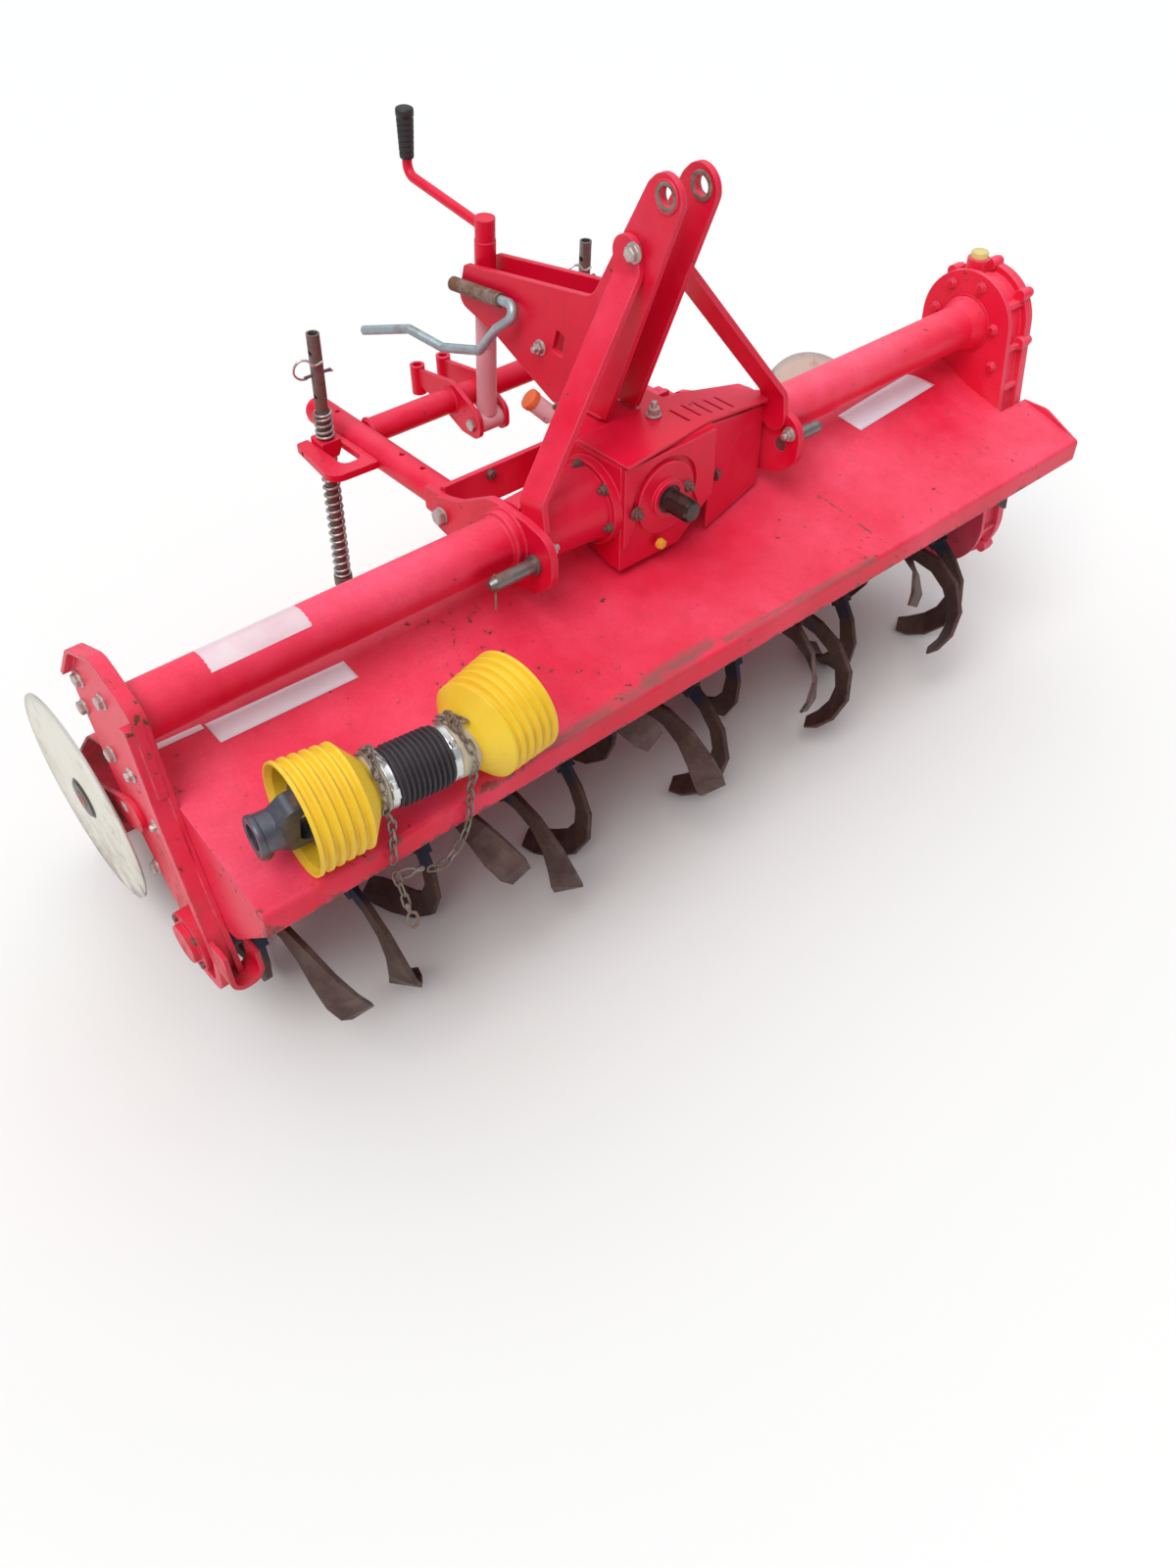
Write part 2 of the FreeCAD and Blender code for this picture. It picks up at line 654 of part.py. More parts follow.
def make_rear_cover():
    y = size("cover_hinge_y")
    z = size("cover_hinge_z")
    thick = size("cover_thick")
    left = -size("cover_left")
    right = size("cover_right")
    pin_radius = size("hinge_pin_diameter") / 2
    outer = pin_radius + 5.0
    ground = rotor_z - size("tine_radius")
    path = [(y + outer - 1, z - 2, 0), (y + 100, z - 36, 90), (y + 208, z - 150, 120),
            (y + 240, z - 270, 120), (y + 250, ground - 6, 0)]
    skin = yz_prism(rounded(strip(path, thick)), left, right - left)
    knuckles = []
    count = 5
    pitch = (right - left) / count
    stations = [min(max(left + i * pitch, left + 12), right - 12) for i in range(count + 1)]
    notches = [Part.makeBox(4000, 400, 100, Vector(-2000, y + 100, ground - 100))]
    for x in stations:
        notches.append(cylinder(17.0, Vector(x - 10, y, z), Vector(x + 10, y, z)))
    skin = skin.cut(notches)
    for i in range(count):
        begin = left + i * pitch + 30
        roll = cylinder(outer, Vector(begin, y, z), Vector(begin + pitch - 60, y, z))
        knuckles.append(roll)
    shape = skin.fuse(knuckles)
    bore = cylinder(pin_radius + size("running_gap"), Vector(left - 5, y, z), Vector(right + 5, y, z))
    shape = shape.cut(bore)
    foot_y = size("rod_foot_y")
    foot_z = size("rod_foot_z")
    lugs = []
    for side in (-1, 1):
        for inner in (13.0, -21.0):
            x = side * rod_x + inner
            ear = yz_prism(polygon_of_tangents(foot_y, foot_z, 16, y + 226, foot_z + 10, 30), x, 8.0)
            ear = ear.cut(yz_prism(rounded(path[1:] + [(y, ground, 0), (y, z - 36, 0)]), x - 1, 10.0))
            lugs.append(ear.cut(cylinder(7.0 + size("running_gap"), Vector(x - 5, foot_y, foot_z),
                                         Vector(x + 15, foot_y, foot_z))))
    shape = shape.fuse(lugs).removeSplitter()
    shape_node("rear_cover", shape)
    pin = cylinder(pin_radius, Vector(left + 4, y, z), Vector(right - 4, y, z))
    hangers = []
    for x in stations:
        ear = yz_prism(polygon_of_tangents(y, z, 14, y - 12, z + 26, 12), x - 8, 16.0)
        hangers.append(ear)
    carrier = hangers[0].fuse(hangers[1:])
    carrier = carrier.cut(yz_prism(rounded(strip(HOOD_PATH, hood_t + 2 * seat)), -2000, 4000))
    shape_node("cover_hinge", carrier.fuse(pin).removeSplitter())


def tine(sign):
    """One curved blade about the X axis: its shank stands at angle 0 and its scoop bends towards sign X."""
    reach = size("tine_reach")
    thick = size("tine_thick")
    tip = size("tine_radius")
    # columns: radius, angle in degrees, share of the side reach, width, thickness, twist in degrees
    sections = [(46.0, 0.0, 0.0, 30.0, thick, 0.0), (100.0, 3.0, 0.0, 30.0, thick, 0.0),
                (145.0, 10.0, 0.0, 34.0, thick, 4.0), (184.0, 20.0, 0.04, 40.0, thick, 14.0),
                (212.0, 31.0, 0.16, 46.0, thick - 1, 32.0), (tip - 12.0, 41.0, 0.40, 50.0, thick - 2, 52.0),
                (tip - 6.0, 49.0, 0.72, 48.0, thick - 3, 68.0), (tip - 8.0, 54.0, 1.0, 36.0, thick - 5, 76.0)]
    inset = 0.0
    for attempt in range(2):
        wires, farthest = tine_sections(sections, inset, sign * reach)
        inset += farthest - tip
    return Part.makeLoft(wires, True, True)


def tine_sections(sections, inset, side_reach):
    """The blade's cross-sections, with its outer half drawn in by inset, and its farthest corner's radius."""
    centres = []
    for radius, angle, share, width, depth, twist in sections:
        a = math.radians(angle)
        r = radius - inset * min(1.0, radius / 200.0)
        centres.append(Vector(share * side_reach, r * math.cos(a), r * math.sin(a)))
    wires = []
    farthest = 0.0
    sign = 1 if side_reach > 0 else -1
    for k, (radius, angle, share, width, depth, twist) in enumerate(sections):
        along = (centres[min(k + 1, len(centres) - 1)] - centres[max(k - 1, 0)]).normalize()
        # the flat of the blade faces sideways at the shank and inwards at the tip
        turn = math.radians(twist)
        inward = Vector(0, -math.cos(math.radians(angle)), -math.sin(math.radians(angle)))
        face = X_AXIS * (sign * math.cos(turn)) + inward * math.sin(turn)
        face = (face - along * face.dot(along)).normalize()
        flat = face * (depth / 2)
        wide = along.cross(face) * (width / 2)
        corners = [centres[k] + flat + wide, centres[k] - flat + wide, centres[k] - flat - wide,
                   centres[k] + flat - wide]
        farthest = max([farthest] + [math.hypot(c.y, c.z) for c in corners])
        wires.append(Part.makePolygon(corners + [corners[0]]))
    return wires, farthest


def make_rotor():
    shaft_r = size("shaft_diameter") / 2
    left = -beam_left + 6.0
    right = beam_right - 4.0
    end_wall = 2.0
    shaft = cylinder(shaft_r, Vector(left, 0, 0), Vector(right, 0, 0))
    shaft = shaft.fuse(cylinder(journal_r, Vector(-beam_left - size("side_plate_thick") + 1, 0, 0),
                                Vector(beam_right + 28, 0, 0)))
    stations = int(round(size("tine_stations")))
    first = left + 46.0
    pitch = (right - 46.0 - first) / (stations - 1)
    pieces = []
    for i in range(stations):
        x = first + i * pitch
        for j in range(3):
            angle = 20.0 + 120.0 * j + 10.0 * ((5 * i) % 12)
            sign = 1 if (i + j) % 2 == 0 else -1
            if i == 0:
                sign = 1
            if i == stations - 1:
                sign = -1
            blade = tine(sign)
            blade.rotate(Vector(0, 0, 0), X_AXIS, angle)
            blade.translate(Vector(x, 0, 0))
            pieces.append(blade)
            holder = Part.makeBox(18, 34, 36, Vector(-9, 30, -18))
            holder.rotate(Vector(0, 0, 0), X_AXIS, angle)
            holder.translate(Vector(x, 0, 0))
            pieces.append(holder)
    rotor = shaft.fuse(pieces)
    rotor.translate(Vector(0, rotor_y, rotor_z))
    shape_node("rotor", rotor)


def make_discs():
    r = size("disc_diameter") / 2
    axle_r = 10.0
    boss_r = 30.0
    sheet_half = 1.5
    y = size("disc_y")
    z = size("disc_z")
    plate_face = -beam_left - size("side_plate_thick")
    for label, arm_label, face, side in (("left_disc", "left_disc_arm", plate_face, -1),
                                         ("right_disc", "right_disc_arm", beam_right, 1)):
        arm_t = 8.0
        arm_in = face - arm_t - seat
        start_y = 110.0 if side < 0 else 40.0
        arm = yz_prism(polygon_of_tangents(start_y, -250, 26, y, z, 26), arm_in, arm_t)
        axle_end = arm_in - 18 if side < 0 else face + 18
        axle = cylinder(axle_r, Vector(arm_in, y, z), Vector(axle_end, y, z))
        shape_node(arm_label, arm.fuse(axle).removeSplitter())
        bore = axle_r + size("running_gap")
        disc_at = arm_in - 12 if side < 0 else face + 8
        profile = [(disc_at - sheet_half, bore), (disc_at - sheet_half, r), (disc_at + sheet_half, r),
                   (disc_at + sheet_half, boss_r + 4), (disc_at + 5, boss_r), (disc_at + 5, bore)]
        if side < 0:
            profile = [(2 * disc_at - x, rad) for x, rad in profile]
        body = doc.addObject("PartDesign::Body", label)
        body.Label = label
        turned(body, label + "_turned", profile)
        body.setExpression("Placement.Base.y", SHIFT_Y + " + Sizes.disc_y")
        body.setExpression("Placement.Base.z", SHIFT_Z + " + Sizes.disc_z")
        nodes.append(body)


def make_depth_frame():
    r = size("frame_tube_diameter") / 2
    z = hinge_z
    end = size("frame_tube_end")
    start = hinge_y + 36.0
    cross_r = size("crossbar_diameter") / 2
    cross_y = size("crossbar_y")
    plate_thick = 10.0
    for label, bolt_label, side in (("frame_left_tube", "left_hinge_bolt", -1),
                                    ("frame_right_tube", "right_hinge_bolt", 1)):
        x = side * tube_x
        tube = cylinder(r, Vector(x, start, z), Vector(x, end - 8, z))
        cap = cylinder(r - 3, Vector(x, end - 8, z), Vector(x, end, z))
        plate_out = side * (hitch_inner - seat)
        plate_in = side * (hitch_inner - seat - plate_thick)
        plate = yz_prism(rounded([(hinge_y - 24, z + 24, 22), (hinge_y - 24, z - 24, 22),
                                  (start + 26, z - 20, 4), (start + 26, z + 20, 4)]),
                         min(plate_out, plate_in), plate_thick)
        plate = plate.cut(cylinder(hinge_bolt_r + size("running_gap"), Vector(-hitch_outer, hinge_y, z),
                                   Vector(hitch_outer, hinge_y, z)))
        # drilled holes along the top of the tube
        holes = [cylinder(5.0, Vector(x, hole_y, z + r - 7), Vector(x, hole_y, z + r + 5))
                 for hole_y in (start + 62, start + 118, end - 72)]
        shape_node(label, tube.fuse([cap, plate]).cut(holes).removeSplitter())
        nut_height = 11.0
        head_r = 13.0
        bolt_in = Vector(side * (hitch_inner - plate_thick - 2 * seat - nut_height), hinge_y, z)
        bolt_out = Vector(side * (hitch_outer + 12), hinge_y, z)
        bolt = cylinder(hinge_bolt_r, bolt_in, bolt_out)
        head = cylinder(head_r, Vector(side * (hitch_outer + seat), hinge_y, z), bolt_out)
        nut = cylinder(head_r, bolt_in, bolt_in + Vector(side * nut_height, 0, 0))
        shape_node(bolt_label, bolt.fuse([head, nut]).removeSplitter())
    bar = cylinder(cross_r, Vector(-tube_x + r - 4, cross_y, z), Vector(tube_x - r + 4, cross_y, z))
    for side in (-1, 1):
        bar = bar.cut(cylinder(r + seat, Vector(side * tube_x, 0, z), Vector(side * tube_x, end, z)))
    shape_node("frame_crossbar", bar)
    flat_end = hitch_inner - plate_thick - 2 * seat
    flat_width = 60.0
    flat = Part.makeBox(2 * flat_end, 9.0, flat_width, Vector(-flat_end, hinge_y + 22, z - flat_width / 2))
    flat = flat.cut(cylinder(7.0, Vector(0, hinge_y, z), Vector(0, hinge_y + 60, z)))
    shape_node("frame_flat_bar", flat)
    make_forks(r, z)
    make_clevises(cross_r, cross_y, z)


def make_forks(tube_r, z):
    """The forks are open to the rear, and their two arms carry the swivel of a spring rod."""
    thick = 12.0
    rod_y = size("rod_y")
    # columns: outwards from the rod, rearwards from the rod, corner radius
    outline = [(-31, -107, 4), (58, -104, 24), (42, 26, 8), (swivel_half + 1, 26, 3),
               (swivel_half + 1, -80, 14), (-swivel_half - 1, -80, 14), (-swivel_half - 1, 26, 3),
               (-31, 26, 3)]
    for label, side in (("left_fork", -1), ("right_fork", 1)):
        x = side * rod_x
        corners = [(x + side * u, rod_y + v, radius) for u, v, radius in outline]
        plate = prism(rounded(corners), Vector(0, 0, thick))
        plate.translate(Vector(0, 0, z - thick / 2))
        trunnion_hole = cylinder(swivel_pin_r + size("loose_pin_gap"),
                                 Vector(x - 80, rod_y, z), Vector(x + 80, rod_y, z))
        tube_space = cylinder(tube_r + seat,
                              Vector(side * tube_x, 0, z), Vector(side * tube_x, rod_y + 200, z))
        shape_node(label, plate.cut([trunnion_hole, tube_space]))


def make_clevises(cross_r, cross_y, z):
    """Two plates on the crossbar that hold the foot of the jack, each with a sleeve at its rear end."""
    pin = Vector(0, size("jack_pin_y"), size("jack_pin_z"))
    inside = 24.0
    thick = 8.0
    pin_hole = cylinder(jack_pin_r + size("running_gap"), pin - X_AXIS * 60, pin + X_AXIS * 60)
    bar_hole = cylinder(cross_r + seat, Vector(-60, cross_y, z), Vector(60, cross_y, z))
    for label, side in (("left_clevis", -1), ("right_clevis", 1)):
        plate = yz_prism(rounded([(pin.y - 22, pin.z + 22, 20), (pin.y - 22, pin.z - 24, 20),
                                  (pin.y + 30, pin.z - 24, 20), (cross_y + 36, z - 18, 12),
                                  (cross_y + 92, z - 6, 4), (cross_y + 92, z + 22, 4),
                                  (cross_y - 8, z + 36, 26)]),
                         inside if side > 0 else -inside - thick, thick)
        middle = side * (inside + thick / 2)
        sleeve = cylinder(13.0, Vector(middle, cross_y + 98, z - 24), Vector(middle, cross_y + 98, z + 28))
        sleeve_hole = cylinder(8.0, Vector(middle, cross_y + 98, z - 30),
                               Vector(middle, cross_y + 98, z + 32))
        plate = plate.fuse(sleeve).cut([sleeve_hole, pin_hole, bar_hole])
        shape_node(label, plate.removeSplitter())
    shape_node("jack_lower_pin", cylinder(jack_pin_r, pin - X_AXIS * 40, pin + X_AXIS * 40))


def make_spring_rods():
    r = size("rod_diameter") / 2
    foot = Vector(0, size("rod_foot_y"), size("rod_foot_z"))
    eye = Vector(0, size("rod_y"), hinge_z)
    along = (eye - foot).normalize()
    lean = math.degrees(math.atan2(-along.y, along.z))
    top = foot + along * ((size("rod_top") - foot.z) / along.z)
    half_height = 15.0
    hole_pitch = 37.0
    for label, spring_label, swivel_label, side in (
            ("left_spring_rod", "left_springs", "left_swivel", -1),
            ("right_spring_rod", "right_springs", "right_swivel", 1)):
        x = Vector(side * rod_x, 0, 0)
        rod = cylinder(r, foot + x + along * 8, top + x)
        bore = cylinder(r - 3, foot + x + along * 120, top + x + along * 2)
        block = cylinder(12.0, foot + x - X_AXIS * 12.8, foot + x + X_AXIS * 12.8)
        pin = cylinder(7.0, foot + x - X_AXIS * 25, foot + x + X_AXIS * 25)
        collar = cylinder(r + 6, foot + x + along * 122, foot + x + along * 140)
        holes = []
        for i in (0, 2, 3):
            at = top + x - along * (30 + i * hole_pitch)
            holes.append(cylinder(5.0, at - X_AXIS * 30, at + X_AXIS * 30))
        clip_at = top + x - along * (30 + hole_pitch)
        clip = cylinder(2.5, clip_at - X_AXIS * 24, clip_at + X_AXIS * 24)
        rod = rod.fuse([block, pin, collar]).cut([bore] + holes)
        shape_node(label, rod.fuse(clip).removeSplitter())
        # the swivel is narrower below, slides on the rod and turns in the fork
        face = rounded([(-swivel_half, 15, 3), (-swivel_half, -1, 3), (6 - swivel_half, -half_height, 3),
                        (swivel_half - 6, -half_height, 3), (swivel_half, -1, 3),
                        (swivel_half, half_height, 3)])
        swivel = xz_prism(face, -17, 34)
        trunnion_end = Vector(swivel_half + 10, 0, 0)
        swivel = swivel.fuse(cylinder(swivel_pin_r, -trunnion_end, trunnion_end))
        swivel.rotate(Vector(0, 0, 0), X_AXIS, lean)
        swivel = swivel.removeSplitter().translated(eye + x)
        core = cylinder(r + seat, foot + x + along * 100, top + x)
        shape_node(swivel_label, swivel.cut(core))
        coil_r = r + 5.5
        lower = cylinder(coil_r, foot + x + along * (140 + seat), eye + x - along * (half_height + seat))
        upper = cylinder(coil_r, eye + x + along * (half_height + seat), eye + x + along * 62)
        shape_node(spring_label, Part.makeCompound([lower.cut(core), upper.cut(core)]))


def make_jack():
    pin = Vector(0, size("jack_pin_y"), size("jack_pin_z"))
    trunnion = Vector(0, size("jack_trunnion_y"), size("jack_trunnion_z"))
    along = (trunnion - pin).normalize()
    r = size("jack_tube_diameter") / 2
    inner = r - 4.0
    barrel_r = r + 4.0
    # lower tube, which slides on the screw housing and into the barrel
    tube = cylinder(r, pin + along * 14, trunnion - along * 34)
    tube = tube.cut(cylinder(inner, pin + along * 60, trunnion))
    block = cylinder(19.0, pin - X_AXIS * 23.5, pin + X_AXIS * 23.5)
    eye = cylinder(jack_pin_r + size("loose_pin_gap"), pin - X_AXIS * 60, pin + X_AXIS * 60)
    block = block.cut(eye)
    tube = tube.cut(eye)
    shape_node("jack_tube", tube.fuse(block).removeSplitter())
    top = trunnion + along * size("barrel_above")
    barrel = cylinder(barrel_r, trunnion - along * 24, trunnion + along * 20)
    barrel = barrel.cut(cylinder(r + 0.5, trunnion - along * 30, trunnion - along * 10.5))
    neck = cylinder(r, trunnion, top)
    plate_face = size("mast_half_gap") + size("mast_thick")
    trunnions = cylinder(trunnion_r, trunnion - X_AXIS * plate_face, trunnion + X_AXIS * plate_face)
    screw = cylinder(inner - size("running_gap"), pin + along * 90, trunnion)
    journal_top = top + along * 26
    journal = cylinder(10.0, top, journal_top)
    shape_node("jack_barrel", barrel.fuse([neck, trunnions, screw, journal]).removeSplitter())
    # crank: a capped hub, an arm to the rear that rises a little, and a grip
    hub = cylinder(16.0, top + along * seat, journal_top + along * 8)
    hub = hub.cut(cylinder(10.0 + size("running_gap"), top - along * 2, journal_top + along * seat))
    centre = top + along * 18
    outward = Vector(0, along.z, -along.y)
    throw = size("crank_throw")
    knee = centre + outward * throw + along * size("crank_rise")
    end = knee + along * 24
    arm = tube_along([centre + outward * 12, knee, end], 8.0, 18.0)
    shape_node("crank_arm", hub.fuse(arm).removeSplitter())
    shape_node("crank_grip", cylinder(14.5, end + along * seat, end + along * size("grip_length")))


def make_stowed_handle():
    face = -(size("mast_half_gap") + size("mast_thick"))
    socket_r = 11.0
    x = face - socket_r - seat
    rear = Vector(x, 392, 182)
    front = Vector(x, 272, 194)
    along = (front - rear).normalize()
    bore = cylinder(7.5 + size("running_gap"), rear - along * 5, front + along * 5)
    shape_node("handle_socket", cylinder(socket_r, rear, front).cut(bore))
    path = [rear + along * 4, front + along * 62, Vector(x - 18, 262, 158), Vector(x - 24, 300, 112),
            Vector(x - 42, 376, 96), Vector(x - 60, 440, 110), Vector(x - 90, 530, 86)]
    shape_node("stowed_handle", tube_along(path, 7.5, 14.0))


def make_filler():
    """The oil filler: a stem from the gearbox top, a cast body that leans to the left and its cap."""
    stem_foot = Vector(-86, 80, size("gearbox_top") + seat)
    body_foot = Vector(-98, 95, 94)
    body_end = Vector(-121, 106, 119)
    lean = (body_end - body_foot).normalize()
    base_height = 8.0
    stem = cylinder(7.0, stem_foot + Z_AXIS * base_height, body_foot + lean * 4)
    base = cylinder(11.0, stem_foot, stem_foot + Z_AXIS * base_height)
    shape_node("oil_filler", cylinder(14.0, body_foot, body_end).fuse([stem, base]).removeSplitter())
    cap = cylinder(16.0, body_end + lean * seat, body_end + lean * 12)
    shape_node("oil_filler_cap", cap)


def guard_cone(way):
    """Profile of a bell-shaped guard: ridged and nearly straight, then drawn in to its neck.
    Its mouth is at x = 0, and its neck lies towards way * X."""
    slope = math.atan2(hood_bend_z - lip_z, hood_bend_y - lip_y)
    mouth = size("driveline_height") * math.cos(slope) - seat
    wall = 3.0
    ridges = 5
    pitch = 14.0
    outer = [(0.0, mouth), (5.0, mouth)]
    for i in range(ridges):
        start = 5.0 + i * pitch
        crest = mouth - 0.9 * (i + 1)
        outer += [(start + 3, crest - 5), (start + 7, crest - 5), (start + 10, crest), (start + pitch, crest)]
    bell = guard_length - 40
    outer += [(bell + 20, 45.0), (bell + 26, neck_r), (guard_length, neck_r)]
    inner = [(guard_length, neck_r - wall), (bell + 24, neck_r - wall), (bell + 18, 45.0 - wall),
             (bell - 2, mouth - 13.0), (8.0, mouth - 8.5), (0.0, mouth - wall)]
    return [(way * x, radius) for x, radius in outer + inner]


guard_length = 115.0
neck_r = 36.0


def make_driveline():
    # the shaft lies slightly askew on the hood: two guard cones with the bellows between them, the right cone
    # turned back towards the rear, and the yoke in the left cone
    front = size("driveline_front")
    slope = math.atan2(hood_bend_z - lip_z, hood_bend_y - lip_y)
    top = lip_z + (-front - lip_y) * math.tan(slope) + hood_t / 2 / math.cos(slope)
    skew = -5.5
    right_skew = 9.0
    yoke_tip = size("driveline_inset") - beam_left
    left_mouth = yoke_tip + 50
    neck_end = left_mouth + guard_length
    bellows_length = size("bellows_length")
    right_neck = neck_end + bellows_length
    bend_gap = neck_r * math.sin(math.radians(right_skew - skew)) + 0.5
    bend_x = right_neck + bend_gap
    bellows = [(neck_end - 10, 33 - seat), (neck_end - 10, 20 + seat), (bend_x + 8, 20 + seat),
               (bend_x + 8, 26), (right_neck, 26), (right_neck, 37)]
    ribs = 11
    pitch = (bellows_length - 5) / ribs
    for i in range(ribs):
        end = right_neck - 3 - i * pitch
        bellows += [(end - 1, 37), (end - pitch * 0.5, 42)]
    bellows += [(neck_end + seat, 37), (neck_end + seat, 33 - seat)]
    bellows = [(x - left_mouth, radius) for x, radius in bellows]

    def lie(angle, along, from_place=Vector(0, 0, 0)):
        """A place on the hood's slope, from the left mouth, and the turn of a piece lying there askew."""
        turn = FreeCAD.Rotation(X_AXIS, math.degrees(slope)).multiply(FreeCAD.Rotation(Z_AXIS, angle))
        return from_place + turn.multVec(Vector(along, 0, 0)), turn

    bend, turn = lie(skew, bend_x - left_mouth)
    right_mouth, right_turn = lie(right_skew, guard_length, bend)
    profiles = [("left_guard_cone", guard_cone(1), Vector(0, 0, 0), turn),
                ("right_guard_cone", guard_cone(-1), right_mouth, right_turn),
                ("driveline_bellows", bellows, Vector(0, 0, 0), turn)]
    for label, profile, place, way in profiles:
        body = doc.addObject("PartDesign::Body", label)
        body.Label = label
        turned(body, label + "_turned", profile)
        body.Placement = FreeCAD.Placement(Vector(left_mouth + place.x, 0, 0), way)
        body.setExpression("Placement.Base.y", SHIFT_Y + " - Sizes.driveline_front + %.3f" % place.y)
        body.setExpression("Placement.Base.z",
                           "%s + %.3f + Sizes.driveline_height" % (SHIFT_Z, top + place.z))
        nodes.append(body)
    # the joint: an outer yoke with a splined socket, the cross, and an inner yoke on the shaft
    joint_x = yoke_tip + 78
    depth = 30.0
    hub = cylinder(26.0, Vector(yoke_tip, 0, 0), Vector(yoke_tip + 30, 0, 0))
    hub = hub.cut(cylinder(size("stub_diameter") / 2,
                           Vector(yoke_tip - 1, 0, 0), Vector(yoke_tip + 24, 0, 0)))
    fork = [(-54, -24, 4), (-36, -43, 14), (16, -43, 10), (16, -31, 2), (-24, -31, 14),
            (-24, 31, 14), (16, 31, 2), (16, 43, 10), (-36, 43, 14), (-54, 24, 4)]
    outer_fork = xz_prism(rounded([(joint_x + u, v, r) for u, v, r in fork]), -depth / 2, depth)
    inner_fork = prism(rounded([(joint_x - u, v, r) for u, v, r in fork]), Vector(0, 0, depth))
    inner_fork.translate(Vector(0, 0, -depth / 2))
    at = Vector(joint_x, 0, 0)
    cross = cylinder(9.0, at - Z_AXIS * 40, at + Z_AXIS * 40)
    cross = cross.fuse(cylinder(9.0, at - Y_AXIS * 40, at + Y_AXIS * 40))
    shaft = cylinder(20.0, at + X_AXIS * 40, Vector(right_neck - 20, 0, 0))
    envelope = cylinder(46.0, at - X_AXIS * 90, at + X_AXIS * 34)
    envelope = envelope.fuse([Part.makeCone(46.0, 34.0, 24.0, at + X_AXIS * 34, X_AXIS),
                              cylinder(20.0, at + X_AXIS * 34, at + X_AXIS * 400)])
    yoke = hub.fuse([outer_fork, inner_fork, cross, shaft]).common(envelope)
    yoke.rotate(Vector(left_mouth, 0, 0), Z_AXIS, skew)
    yoke.rotate(Vector(0, 0, 0), X_AXIS, math.degrees(slope))
    yoke.translate(Vector(0, -front, size("driveline_height") + top))
    shape_node("driveline_yoke", yoke.removeSplitter())


make_beam()
make_hitch_plates()
make_lower_pins()
make_gearbox()
make_input_stub()
make_guards()
make_mast()
make_braces()
make_side_plate()
make_end_bearing()
make_chain_case()
make_hood()
make_rear_cover()
make_rotor()
make_discs()
make_depth_frame()
make_spring_rods()
make_jack()
make_stowed_handle()
make_filler()
make_driveline()

doc.recompute()

# Every object is checked before anything is written
for obj in doc.Objects:
    if "Invalid" in obj.State or "Error" in obj.State:
        raise RuntimeError("%s failed: %s" % (obj.Name, obj.State))
for node in nodes:
    if node.Shape.isNull() or not node.Shape.isValid():
        raise RuntimeError("%s has no valid shape" % node.Label)

os.makedirs("parts", exist_ok=True)
for node in nodes:
    node.Shape.exportStep(os.path.join("parts", node.Label + ".step"))
    box = node.Shape.BoundBox
    print("%-18s solids %d  volume %.0f  x %.0f..%.0f y %.0f..%.0f z %.0f..%.0f"
          % (node.Label, len(node.Shape.Solids), node.Shape.Volume, box.XMin, box.XMax, box.YMin, box.YMax,
             box.ZMin, box.ZMax))
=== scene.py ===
import math
import random

import bmesh
import bpy
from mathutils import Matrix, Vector
from mathutils.bvhtree import BVHTree


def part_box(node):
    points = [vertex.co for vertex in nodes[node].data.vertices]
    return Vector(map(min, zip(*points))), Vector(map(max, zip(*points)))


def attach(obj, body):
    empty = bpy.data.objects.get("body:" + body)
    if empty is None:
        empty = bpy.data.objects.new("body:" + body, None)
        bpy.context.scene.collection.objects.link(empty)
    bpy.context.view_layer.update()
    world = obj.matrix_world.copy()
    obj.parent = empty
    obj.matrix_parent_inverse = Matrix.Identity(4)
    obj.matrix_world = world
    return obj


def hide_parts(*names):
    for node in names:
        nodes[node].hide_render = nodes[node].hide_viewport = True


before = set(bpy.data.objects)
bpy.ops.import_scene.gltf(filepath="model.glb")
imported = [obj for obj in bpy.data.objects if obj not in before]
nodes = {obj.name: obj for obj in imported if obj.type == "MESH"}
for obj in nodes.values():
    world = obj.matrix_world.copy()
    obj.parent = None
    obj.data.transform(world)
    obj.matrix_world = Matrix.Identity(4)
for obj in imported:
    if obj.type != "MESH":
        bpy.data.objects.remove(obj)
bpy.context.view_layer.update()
random.seed(7)

# Places are given in millimetres from the middle of the beam, as in the part's source
SHIFT_Y = 152.7
BEAM_Z = 620.0
RIGHT = Vector((1, 0, 0))
REAR = Vector((0, 1, 0))
UP = Vector((0, 0, 1))
LEFT = -RIGHT
FRONT = -REAR
BEAM_LEFT = -835.0
BEAM_RIGHT = 805.0
# outer faces of the side plate, the chain case's cover, the hitch plates, the mast plates and the braces
PLATE_X = -843.0
COVER_X = 875.2
HITCH_X = 259.0
MAST_X = 35.0
BRACE_X = 44.6
MAST_THICKNESS = 9.0
# the gearbox's side flanges, its bearing retainer's face, and its top
LEFT_FLANGE_X = -114.0
RIGHT_FLANGE_X = 104.0
RETAINER_Y = -70.5
GEARBOX_TOP = 84.0
# faces that the discs' nuts sit on
LEFT_NUT_X = -868.2
RIGHT_NUT_X = 818.2
# (y, z) of the axes that run along the beam
BEAM = (0.0, 0.0)
ROTOR = (-30.0, -380.0)
DISCS = (298.0, -350.0)
FRAME_HINGE = (163.0, -42.0)
CROSSBAR = (450.0, -42.0)
JACK_PIN = (389.0, -64.0)
MAST_EARS = (-64.0, 428.0)
FIRST_STATION = -783.0
LAST_STATION = BEAM_RIGHT - 50.0
STATIONS = 12
BLADES = 3


def at(x, y, z):
    """A point given from the beam, in the row frame in metres."""
    return Vector((x / 1000, (y - SHIFT_Y) / 1000, (z + BEAM_Z) / 1000))


def add_object(name, data):
    obj = bpy.data.objects.new(name, data)
    bpy.context.scene.collection.objects.link(obj)
    return obj


